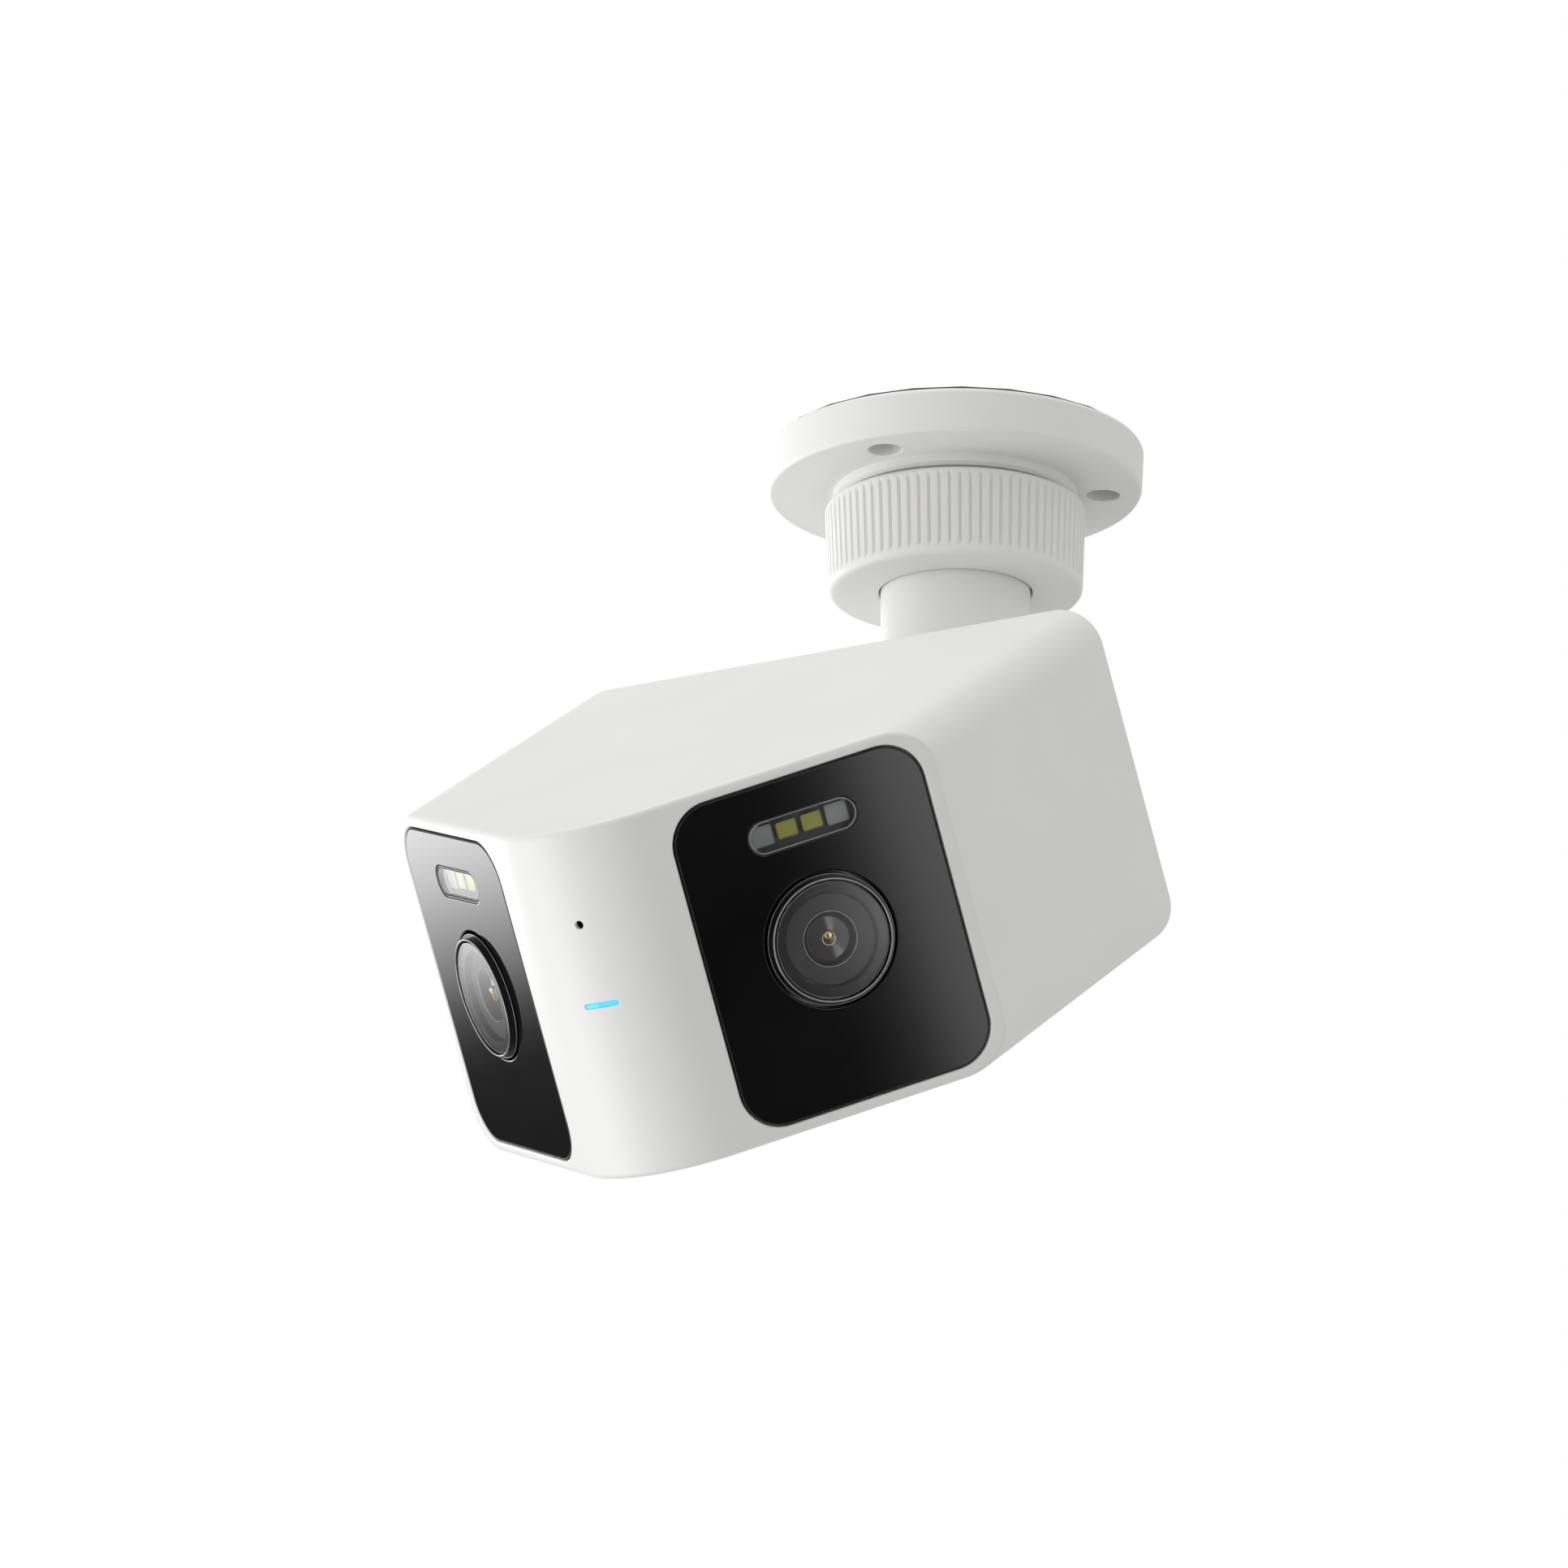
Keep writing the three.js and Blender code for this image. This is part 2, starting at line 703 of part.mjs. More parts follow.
function atCoverCorner([sideX, sideZ], radius, from, to, curveSegments) {
  const shape = circleShape(radius, 0, sideX * coverScrewX, sideZ * coverScrewZ);
  return alongY(extrudeZ(shape, from, to, curveSegments));
}

function speakerHoles() {
  const holes = [];
  for (let row = -1; row <= 1; row += 1) {
    for (let column = -3; column <= 3; column += 1) {
      const hole = circleShape(speakerHole, 0, column * speakerPitch, speakerY + row * speakerPitch);
      holes.push(extrudeZ(hole, floorZ - sideWall - 1, floorZ + 1, 3));
    }
  }
  return holes;
}

function housing() {
  const rimShape = roundedRectangle(
    bodyWidth - 2 * rearRimWall,
    bodyHeight - 2 * rearRimWall,
    bodyCorner - rearRimWall,
  );
  const rearRim = alongY(extrudeZ(rimShape, 0, 20, 4)).translate(0, rearStep + 20, 0);
  const bosses = coverCorners.map((corner) => atCoverCorner(corner, bossRadius, 0, bossLength, 6)
    .translate(0, rearStep, 0));
  const bossBore = coverScrewRadius + clearance + runningGap;
  const bossHoles = coverCorners.map((corner) => atCoverCorner(corner, bossBore, 0, bossLength - 3, 4)
    .translate(0, rearStep, 0));
  const doorGap = doorThickness / 2 + clearance;
  const doorHole = boxAt(
    doorWidth + 2 * (clearance + runningGap),
    doorLength + doorGap + clearance,
    4 * sideWall,
    0,
    doorHingeY - doorLength / 2 + (doorGap - clearance) / 2,
    -bodyHeight / 2,
  );
  const pivotReach = doorWidth / 2 + doorPivotLength + clearance + runningGap;
  const pivotHole = alongX(extrudeZ(circleShape(doorPivotRadius + clearance), -pivotReach, pivotReach, 4))
    .translate(0, doorHingeY, doorHingeZ);
  const microphoneHole = alongY(extrudeZ(circleShape(microphoneHoleRadius, 0, 0, microphoneZ), 0, 10, 5))
    .translate(0, noseFrontY + 9, 0);
  const slotRoom = 0.4;
  const statusHole = boxAt(statusWidth + slotRoom, 14, statusHeight + slotRoom, 0, noseFrontY + 3, 0);
  const shell = solid(bodyBlock())
    .subtract(solid(bodyHollow()))
    .subtract(solid(rearRim));
  const withBosses = bosses.map(solid).reduce((sum, boss) => sum.add(boss), shell);
  const cutters = [
    ...bossHoles,
    ...windowCutters(1),
    ...windowCutters(-1),
    doorHole,
    pivotHole,
    microphoneHole,
    statusHole,
    ...speakerHoles(),
  ];
  return geometryOf(cutters.map(solid).reduce((rest, cutter) => rest.subtract(cutter), withBosses));
}

// ---- nose parts ----

function statusLightPipe() {
  const sunk = 0.15;
  const bar = boxAt(statusWidth, statusDepth + 1, statusHeight, 0, noseFrontY + (statusDepth - 1) / 2, 0);
  return common(bar, bodyBlock().translate(0, sunk, 0));
}

function noseBoard() {
  const height = microphoneZ + 2 * microphoneRadius + 16;
  const top = microphoneZ + 2 * microphoneRadius;
  const board = boxAt(11, boardThickness, height, 0, noseBoardY, top - height / 2);
  const statusLed = boxAt(2.0, 1.0, 1.4, 0, noseBoardY - boardThickness / 2 - 0.4, 0);
  return joined(board, statusLed);
}

function microphone() {
  return alongY(extrudeZ(circleShape(microphoneRadius, 0, 0, microphoneZ), 0, microphoneHeight, 10))
    .translate(0, noseBoardY - boardThickness / 2 - clearance, 0);
}

// ---- rear parts ----

function rearCoverArm() {
  const root = coverBack - 0.5;
  const profile = new THREE.Shape();
  profile.moveTo(root, -armRootHalfHeight);
  profile.lineTo(root + 3.5, -armRootHalfHeight + 1);
  profile.absarc(0, 0, armBossRadius, -Math.PI / 2, Math.PI / 2, false);
  profile.lineTo(root + 3.5, armRootHalfHeight - 1);
  profile.lineTo(root, armRootHalfHeight);
  profile.closePath();
  const across = new THREE.Matrix4().makeBasis(
    new THREE.Vector3(0, 1, 0),
    new THREE.Vector3(0, 0, 1),
    new THREE.Vector3(1, 0, 0),
  );
  return extrudeZ(profile, -armHalfWidth, armHalfWidth, 12).applyMatrix4(across);
}

function rearCover() {
  const inset = rearRimWall + clearance;
  const shape = roundedRectangle(bodyWidth - 2 * inset, bodyHeight - 2 * inset, bodyCorner - inset);
  const plate = alongY(extrudeZ(shape, 0, coverThickness, 4)).translate(0, coverBack, 0);
  const boltHole = alongX(extrudeZ(circleShape(boltHoleRadius), -2 * armHalfWidth, 2 * armHalfWidth, 12));
  const screwHoles = coverCorners.flatMap((corner) => [
    atCoverCorner(corner, coverScrewRadius + 0.5, -10, 10, 4),
    atCoverCorner(corner, coverScrewHead + 0.4, -10, coverThickness / 2, 6),
  ]).map((hole) => hole.translate(0, coverBack, 0));
  const glandShape = circleShape(glandStem + clearance + runningGap, 0, glandX, glandZ);
  const glandHole = alongY(extrudeZ(glandShape, -10, 10, 8)).translate(0, coverBack, 0);
  return cutFrom(joined(plate, rearCoverArm()), boltHole, glandHole, ...screwHoles);
}

function cableGland() {
  const collar = extrudeZ(circleShape(glandRadius, 0, glandX, glandZ), -glandProud, -clearance, 10);
  const stem = extrudeZ(circleShape(glandStem, 0, glandX, glandZ), -clearance - 0.2, coverThickness + 2, 10);
  const bore = extrudeZ(circleShape(glandBore, 0, glandX, glandZ), -2 * glandProud, 2 * glandProud, 8);
  return alongY(cutFrom(joined(collar, stem), bore)).translate(0, coverBack, 0);
}

function rearGasket() {
  const outer = rearRimWall + clearance;
  const inner = outer + gasketWidth;
  const shape = roundedRectangle(bodyWidth - 2 * outer, bodyHeight - 2 * outer, bodyCorner - outer);
  const opening = roundedRectangle(bodyWidth - 2 * inner, bodyHeight - 2 * inner, bodyCorner - inner);
  shape.holes.push(new THREE.Path(opening.getPoints(4).reverse()));
  return alongY(extrudeZ(shape, 0, gasketThickness, 4)).translate(0, coverFront - clearance, 0);
}

function coverScrew(corner) {
  const [sideX, sideZ] = corner;
  const headStart = runningGap;
  const headEnd = coverThickness / 2 - clearance + 0.05;
  const head = atCoverCorner(corner, coverScrewHead, headStart, headEnd, 8);
  const shank = atCoverCorner(corner, coverScrewRadius, headEnd - 0.2, headEnd + coverScrewLength, 4);
  const crossX = sideX * coverScrewX;
  const crossZ = sideZ * coverScrewZ;
  const arms = [
    boxAt(coverScrewHead + 0.5, 1.2, 0.7, crossX, -headStart, crossZ),
    boxAt(0.7, 1.2, coverScrewHead + 0.5, crossX, -headStart, crossZ),
  ];
  return cutFrom(joined(head, shank), ...arms).translate(0, coverBack, 0);
}

// ---- window module, in the face's own frame ----

function stadium(width, height, x, y) {
  return roundedRectangle(width, height, height / 2 - 0.01, x, y);
}

function windowPanel(lensX) {
  const shape = roundedRectangle(panelWidth, panelHeight, panelCorner);
  const slot = stadium(ledWindowWidth, ledWindowTall, 0, ledWindowHeight);
  shape.holes.push(new THREE.Path(slot.getPoints(6).reverse()));
  shape.holes.push(circlePath(lensX, lensDrop, lensHoleRadius));
  return extrudeZ(shape, panelBack, panelFront, 14);
}

const ledWindowFront = panelFront - 0.2;
const ledWindowBack = ledWindowFront - ledWindowThickness;
const ledFront = ledWindowBack - 0.8;
const ledBoardFront = ledFront - ledHeight - clearance;

function ledWindow() {
  const edge = 0.4;
  const shape = stadium(ledWindowWidth - edge, ledWindowTall - edge, 0, ledWindowHeight);
  return extrudeZ(shape, ledWindowBack, ledWindowFront, 5);
}

function ledBoard() {
  const width = ledWindowWidth + 5.6;
  const height = ledWindowTall + 3.1;
  const middle = ledBoardFront - boardThickness / 2;
  return boxAt(width, height, boardThickness, 0, ledWindowHeight, middle);
}

function led(index, [width, height]) {
  const x = (index - 1.5) * ledPitch;
  const shape = roundedRectangle(width, height, 0.4, x, ledWindowHeight);
  return extrudeZ(shape, ledFront - ledHeight, ledFront, 3);
}

function lensTrim() {
  const rimInner = trimRadius - trimRim;
  return turned([
    [trimSeatRadius, trimBack],
    [trimSeatRadius, trimLedge / 2],
    [trimRadius, trimLedge / 2],
    [trimRadius, trimProud - 0.15],
    [trimRadius - 0.15, trimProud],
    [rimInner, trimProud],
    [rimInner, trimLedge],
    [trimBore, trimLedge],
    [trimBore, trimBack],
  ], 40);
}

function lensGlass() {
  const back = trimLedge + clearance;
  return extrudeZ(circleShape(glassRadius), back, back + glassThickness, 20);
}

function lensBarrel() {
  return turned([
    [barrelRadius, barrelBack],
    [barrelRadius, barrelFront - barrelFlange],
    [trimBore - clearance, barrelFront - barrelFlange],
    [trimBore - clearance, barrelFront],
    [barrelBore, barrelFront],
    [barrelBore, barrelBack + 1],
    [barrelBore - 1, barrelBack + 1],
    [barrelBore - 1, barrelBack],
  ], 32);
}

// A wide, low lens with a small high dome at its middle.
function lensElement() {
  const radius = barrelBore - clearance;
  const edge = barrelFront - 1.4;
  const rise = edge + elementRise * 0.8;
  return turned([
    [0, edge - 3.6],
    [radius, edge - 3.6],
    [radius, edge],
    [radius * 0.7, edge + elementRise * 0.5],
    [elementTip + 0.2, rise],
    [elementTip, rise + elementTip * 0.4],
    [elementTip * 0.6, rise + elementTip * 0.75],
    [0, rise + elementTip * 0.9],
  ], 32);
}

function cameraBracket(lensX) {
  const width = panelWidth - 4.7;
  const height = panelHeight - 2 * bracketMargin;
  const shape = roundedRectangle(width, height, 3);
  shape.holes.push(circlePath(lensX, lensDrop, barrelRadius + clearance + runningGap));
  return extrudeZ(shape, bracketFront - bracketThickness, bracketFront, 6);
}

function lensHolder() {
  const slotBack = filterSlotFront - filterSlotHeight;
  const block = extrudeZ(roundedRectangle(holderWidth, holderHeight, 1.5), holderBack, holderFront, 3);
  const bore = extrudeZ(circleShape(barrelRadius + clearance), slotBack + 0.2, 0, 10);
  const slot = boxAt(
    2 * holderWidth,
    filterHeight + 0.8,
    filterSlotHeight,
    0,
    0,
    (filterSlotFront + slotBack) / 2,
  );
  const pocketDepth = slotBack - holderBack + 1;
  const sensorPocket = boxAt(9, 8, pocketDepth, 0, 0, slotBack + 0.2 - pocketDepth / 2);
  return cutFrom(block, bore, slot, sensorPocket);
}

function infraredFilter(side) {
  const shape = roundedRectangle(filterWidth, filterHeight, 1.0);
  shape.holes.push(circlePath(side * filterTravel / 2, 0, filterHoleRadius));
  return extrudeZ(shape, filterSlotFront - filterRoom - filterThickness, filterSlotFront - filterRoom, 4);
}

function sensorBoard() {
  const front = holderBack - clearance;
  const width = holderWidth + 2 * sensorBoardMargin;
  const height = holderHeight + 2 * sensorBoardOverhang;
  const board = boxAt(width, height, boardThickness, 0, 0, front - boardThickness / 2);
  const sensor = boxAt(7.0, 6.0, 1.4, 0, 0, front + 0.5);
  return joined(board, sensor);
}

function windowModule(parent, side) {
  const label = side > 0 ? 'right' : 'left';
  const lensX = -side * lensInset;
  const face = new THREE.Group();
  face.name = `face_${label}`;
  face.applyMatrix4(faceMatrix(side));
  parent.add(face);
  piece(face, `window_panel_${label}`, windowPanel(lensX), panelBlack());
  piece(face, `led_window_${label}`, ledWindow(), clearPlastic());
  piece(face, `led_board_${label}`, ledBoard(), boardWhite());
  for (let index = 0; index < 4; index += 1) {
    const white = index === 1 || index === 2;
    const kind = white ? 'white' : 'infrared';
    const place = index < 2 ? 'a' : 'b';
    const geometry = led(index, white ? whiteLed : infraredLed);
    piece(face, `led_${kind}_${label}_${place}`, geometry, white ? phosphorYellow() : infraredGrey());
  }
  piece(face, `camera_bracket_${label}`, cameraBracket(lensX), aluminium());
  const lens = new THREE.Group();
  lens.name = `lens_${label}`;
  lens.position.set(lensX, lensDrop, 0);
  face.add(lens);
  piece(lens, `lens_trim_${label}`, lensTrim(), trimBlack());
  piece(lens, `lens_glass_${label}`, lensGlass(), glassGrey());
  piece(lens, `lens_barrel_${label}`, lensBarrel(), barrelBlack());
  piece(lens, `lens_element_${label}`, lensElement(), lensCoating());
  piece(lens, `lens_holder_${label}`, lensHolder(), barrelBlack());
  const filter = piece(lens, `infrared_filter_${label}`, infraredFilter(side), filterRed());
  filter.position.x = -side * filterTravel / 2;
  piece(lens, `sensor_board_${label}`, sensorBoard(), boardGreen());
}

// ---- inner parts ----

function chassis() {
  const trayMiddle = chassisTop - chassisThickness / 2;
  const tray = boxAt(chassisWidth, chassisLength, chassisThickness, 0, chassisY, trayMiddle);
  const flangeX = (chassisWidth - chassisThickness) / 2;
  const flangeZ = chassisTop - chassisThickness + chassisFlange / 2;
  const flanges = [-1, 1].map((side) => (
    boxAt(chassisThickness, chassisLength, chassisFlange, side * flangeX, chassisY, flangeZ)
  ));
  const standoffX = mainBoardWidth / 2 - standoffInset;
  const standoffY = chassisLength / 2 - standoffInset;
  const standoffs = [-1, 1].flatMap((sideX) => [-1, 1].map((sideY) => {
    const shape = circleShape(standoffRadius, 0, sideX * standoffX, chassisY + sideY * standoffY);
    return extrudeZ(shape, chassisTop - 0.5, mainBoardUnderside - clearance, 5);
  }));
  return joined(tray, ...flanges, ...standoffs);
}

function mainBoard() {
  const length = chassisLength - 2 * clearance - 1.4;
  const middle = mainBoardUnderside + mainBoardThickness / 2;
  const top = mainBoardUnderside + mainBoardThickness;
  const board = boxAt(mainBoardWidth, length, mainBoardThickness, 0, chassisY, middle);
  const [socketWidth, socketLength, socketHeight] = boardSocket;
  const socketX = -mainBoardWidth / 2 + socketWidth / 2 + 8;
  const socketY = chassisY + length / 2 - socketLength / 2 - 2.5;
  const socket = boxAt(
    socketWidth,
    socketLength,
    socketHeight + 0.2,
    socketX,
    socketY,
    top + socketHeight / 2 - 0.1,
  );
  const coilX = mainBoardWidth / 2 - coilRadius - 6;
  const coilShape = circleShape(coilRadius, 0, coilX, socketY - socketLength);
  const coil = extrudeZ(coilShape, top - 0.2, top + coilHeight, 6);
  return joined(board, socket, coil);
}

function shieldCan() {
  const width = mainBoardWidth - 2 * shieldSideRoom;
  const length = chassisLength - shieldEndRoom;
  const bottom = mainBoardUnderside + mainBoardThickness + clearance;
  const y = chassisFront + shieldFrontRoom + length / 2;
  return boxAt(width, length, shieldHeight, 0, y, bottom + shieldHeight / 2);
}

function speaker() {
  const bottom = floorZ + clearance + runningGap;
  const magnet = speakerRadius - speakerRim;
  return turned([
    [0, bottom],
    [speakerRadius, bottom],
    [speakerRadius, bottom + speakerHeight * 0.42],
    [magnet, bottom + speakerHeight * 0.6],
    [magnet, bottom + speakerHeight],
    [0, bottom + speakerHeight],
  ], 32).translate(0, speakerY, 0);
}

// ---- service door, its board and the reset button ----

function serviceBoard() {
  const under = serviceBoardZ - boardThickness / 2;
  const width = doorWidth + 9;
  const length = doorLength + 4;
  const board = boxAt(width, length, boardThickness, 0, resetY, serviceBoardZ);
  const [socketWidth, socketLength, socketHeight] = cardSocket;
  const socketMiddle = under + 0.1 - socketHeight / 2;
  const socket = boxAt(socketWidth, socketLength, socketHeight, cardSocketX, resetY, socketMiddle);
  const slot = boxAt(socketWidth - 3.4, socketLength - 3, 1.0, cardSocketX, resetY - 3, socketMiddle);
  const switchMiddle = under + 0.2 - switchHeight / 2;
  const switchBody = boxAt(switchWidth, switchWidth, switchHeight, resetX, resetY, switchMiddle);
  const boreShape = circleShape(resetRadius + clearance + runningGap, 0, resetX, resetY);
  const switchBore = extrudeZ(boreShape, under - 2 * switchHeight, under - 0.2, 5);
  return cutFrom(joined(board, socket, switchBody), slot, switchBore);
}

function resetButton() {
  const top = serviceBoardZ - boardThickness / 2 - 0.2 - clearance - resetTravel;
  return extrudeZ(circleShape(resetRadius, 0, resetX, resetY), top - resetLength, top, 5);
}

function serviceDoor() {
  const outer = doorHingeZ - doorThickness / 2;
  const freeEdge = doorHingeY - doorLength;
  const leaf = boxAt(doorWidth, doorLength, doorThickness, 0, doorHingeY - doorLength / 2, doorHingeZ);
  const pivotReach = doorWidth / 2 + doorPivotLength;
  const round = (radius, reach, y, z) => alongX(extrudeZ(circleShape(radius), -reach, reach, 5))
    .translate(0, y, z);
  const rolledEdge = round(doorThickness / 2, doorWidth / 2, doorHingeY, doorHingeZ);
  const pivots = round(doorPivotRadius, pivotReach, doorHingeY, doorHingeZ);
  const fingerNotch = round(1.1, 5, freeEdge + 0.3, outer - 0.3);
  return cutFrom(joined(leaf, rolledEdge, pivots), fingerNotch);
}

// ---- assembly ----

const root = new THREE.Group();
root.name = 'floodlight_security_camera';

piece(root, 'mount_pad', mountPad(), padGrey());
piece(root, 'mount_plate', mountPlate(), shellWhite());
piece(root, 'locking_ring', lockingRing(), shellWhite());
piece(root, 'swivel_washer', swivelWasher(), washerBlack());
piece(root, 'post', post(), shellWhite());
piece(root, 'tilt_washer_right', tiltWasher(1), washerBlack());
piece(root, 'tilt_washer_left', tiltWasher(-1), washerBlack());
piece(root, 'tilt_bolt', tiltBolt(), steel());
piece(root, 'tilt_nut', tiltNut(), steel());

const head = new THREE.Group();
head.name = 'head';
head.position.set(0, 0, pivotHeight);
head.rotation.x = bodyPitch * degrees;
root.add(head);

piece(head, 'housing', housing(), shellWhite());
piece(head, 'rear_cover', rearCover(), shellWhite());
piece(head, 'rear_gasket', rearGasket(), rubberBlack());
coverCorners.forEach((corner, index) => {
  piece(head, `cover_screw_${index + 1}`, coverScrew(corner), steel());
});
piece(head, 'cable_gland', cableGland(), rubberBlack());
windowModule(head, 1);
windowModule(head, -1);
piece(head, 'nose_board', noseBoard(), boardGreen());
piece(head, 'microphone', microphone(), steel());
piece(head, 'status_light_pipe', statusLightPipe(), statusBlue());
piece(head, 'chassis', chassis(), aluminium());
piece(head, 'main_board', mainBoard(), boardGreen());
piece(head, 'shield_can', shieldCan(), steel());
piece(head, 'speaker', speaker(), chipBlack());
piece(head, 'service_board', serviceBoard(), boardGreen());
piece(head, 'reset_button', resetButton(), rubberBlack());
piece(head, 'service_door', serviceDoor(), shellWhite());

export default root;
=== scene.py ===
import json
import math

import bmesh
import bpy
from mathutils import Matrix, Vector
from mathutils.geometry import delaunay_2d_cdt


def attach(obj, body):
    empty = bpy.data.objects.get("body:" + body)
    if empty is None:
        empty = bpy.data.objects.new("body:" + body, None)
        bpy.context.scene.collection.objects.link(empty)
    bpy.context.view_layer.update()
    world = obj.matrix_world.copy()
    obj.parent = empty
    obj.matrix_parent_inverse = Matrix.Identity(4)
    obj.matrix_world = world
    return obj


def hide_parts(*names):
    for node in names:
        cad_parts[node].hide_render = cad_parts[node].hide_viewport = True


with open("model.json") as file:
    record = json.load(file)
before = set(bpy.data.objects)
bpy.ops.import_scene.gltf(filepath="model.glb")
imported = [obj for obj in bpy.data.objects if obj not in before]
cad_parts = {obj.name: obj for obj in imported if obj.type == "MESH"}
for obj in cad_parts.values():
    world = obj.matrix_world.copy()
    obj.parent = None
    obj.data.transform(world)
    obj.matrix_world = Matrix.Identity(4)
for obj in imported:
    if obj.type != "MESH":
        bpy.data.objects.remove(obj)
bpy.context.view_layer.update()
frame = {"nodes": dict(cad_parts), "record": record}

MM = 0.001

# ---- sizes shared with the part, in millimetres ----
# Body, in the head's own frame: the tilt pivot at 0, -Y towards the nose.
FACE_ANGLE = math.radians(42.5)
PITCH = math.radians(32.5)
BODY_WIDTH = 98.7
BODY_HEIGHT = 57.9
BODY_CORNER = 7.0
BODY_BACK = -34.8
APEX = -151.35
NOSE_RADIUS = 20.0
NOSE_CENTRE = APEX + NOSE_RADIUS / math.cos(FACE_ANGLE)
EDGE_FRONT = 1.1
EDGE_BACK = 1.2
SIDE_WALL = 3.0
FRONT_WALL = 3.4
REAR_RIM = 1.8
REAR_STEP = -39.8
MIC_HEIGHT = 13.4
MIC_RADIUS = 0.7
MIC_DEPTH = 0.7
STATUS_SLOT = (6.2, 0.86, 0.42)  # width, height, corner
STATUS_LIGHT = (6.0, 0.66, 0.32)
STATUS_SUNK = 0.12
STATUS_DEPTH = 5.0
DOOR_Y = -53.0
DOOR_LONG = 15.0
DOOR_WIDE = 27.0
DOOR_GAP = 0.4
DOOR_HINGE_ROOM = 1.2
GRILLE_Y = -92.0
GRILLE_PITCH = 3.2
GRILLE_HOLE = 0.8

# Black window panels and their pockets in the slanted faces.
BEZEL_INNER = 3.47
BEZEL_OUTER = 2.43
BEZEL_END = 2.15
PANEL_INNER = NOSE_RADIUS * math.tan(FACE_ANGLE) + BEZEL_INNER
PANEL_WIDTH = BODY_WIDTH / 2 / math.cos(FACE_ANGLE) - PANEL_INNER - BEZEL_OUTER
PANEL_HEIGHT = BODY_HEIGHT - 2 * BEZEL_END
PANEL_MIDDLE = PANEL_INNER + PANEL_WIDTH / 2
PANEL_CORNER = 6.7
PANEL_BACK = -1.6
PANEL_FACE = -0.1
POCKET_GAP = 0.3
POCKET_DEPTH = 1.9
LEDGE_SIDE = 2.6
LEDGE_END = 3.1

# LED windows and lenses, in the panel's own frame: its middle at 0, +Z outward.
LED_HEIGHT = 18.5
LED_SLOT = (18.4, 5.3, 2.64)
LED_WINDOW = (18.0, 4.9, 2.44)
LED_PITCH = 4.3
WHITE_LED = (3.5, 2.8)
INFRARED_LED = (3.7, 3.4)
LED_BACK = -3.1
LED_FRONT = -2.25
LENS_OFFSET = 0.4
LENS_OPENING = 11.0
TRIM_FOOT = 10.6
TRIM_RADIUS = 10.05
TRIM_LIP = 9.7
TRIM_BORE = 7.7
TRIM_BACK = -5.0
TRIM_TOP = 1.05
GLASS_RADIUS = 9.4
GLASS_BACK = 0.4
GLASS_FRONT = 1.0
BARREL_FLANGE = 7.4
BARREL_RADIUS = 6.0
BARREL_BORE = 4.4
BARREL_END_BORE = 3.4
BARREL_FRONT = -0.9
BARREL_SHOULDER = -2.0
BARREL_FLOOR = -12.8
BARREL_BACK = -13.8
ELEMENT_RADIUS = 4.1
ELEMENT_BACK = -5.9

# Base plate and locking ring, in the world's frame: the ceiling at 0, -Z down.
PLATE_TOP = -0.6
PLATE_UNDER = -8.2
PLATE_FLAT = 31.0
SCREW_CIRCLE = 25.3
SCREW_HOLE = 1.8
SCREW_HEAD = 2.9
SCREW_SEAT = -2.8
SCREW_MOUTH = 0.25
NECK_RADIUS = 19.0
NECK_BORE = 14.4
NECK_END = -20.4
SOCKET_ROOF = -9.6
COLLAR_RADIUS = 21.0
COLLAR_END = -10.1
COLLAR_CHAMFER = 0.6
GROOVES = 78
GROOVE_DEPTH = 0.5
GROOVE_HALF_WIDTH = 0.19  # of the groove pitch

joints = {j["name"]: j for j in frame["record"]["behaviour"]["joints"]}
pivot = Vector(joints["tilt"]["pos_m"])
HEAD = Matrix.Translation(pivot) @ Matrix.Rotation(PITCH, 4, "X")
WORLD = Matrix.Identity(4)


def face_matrix(side):
    """The frame of one slanted face, with its origin in the middle of the window panel."""
    ca, sa = math.cos(FACE_ANGLE), math.sin(FACE_ANGLE)
    m = Matrix((
        (ca, 0, side * sa, side * PANEL_MIDDLE * ca * MM),
        (side * sa, 0, -ca, (APEX + PANEL_MIDDLE * sa) * MM),
        (0, 1, 0, 0),
        (0, 0, 0, 1),
    ))
    return HEAD @ m


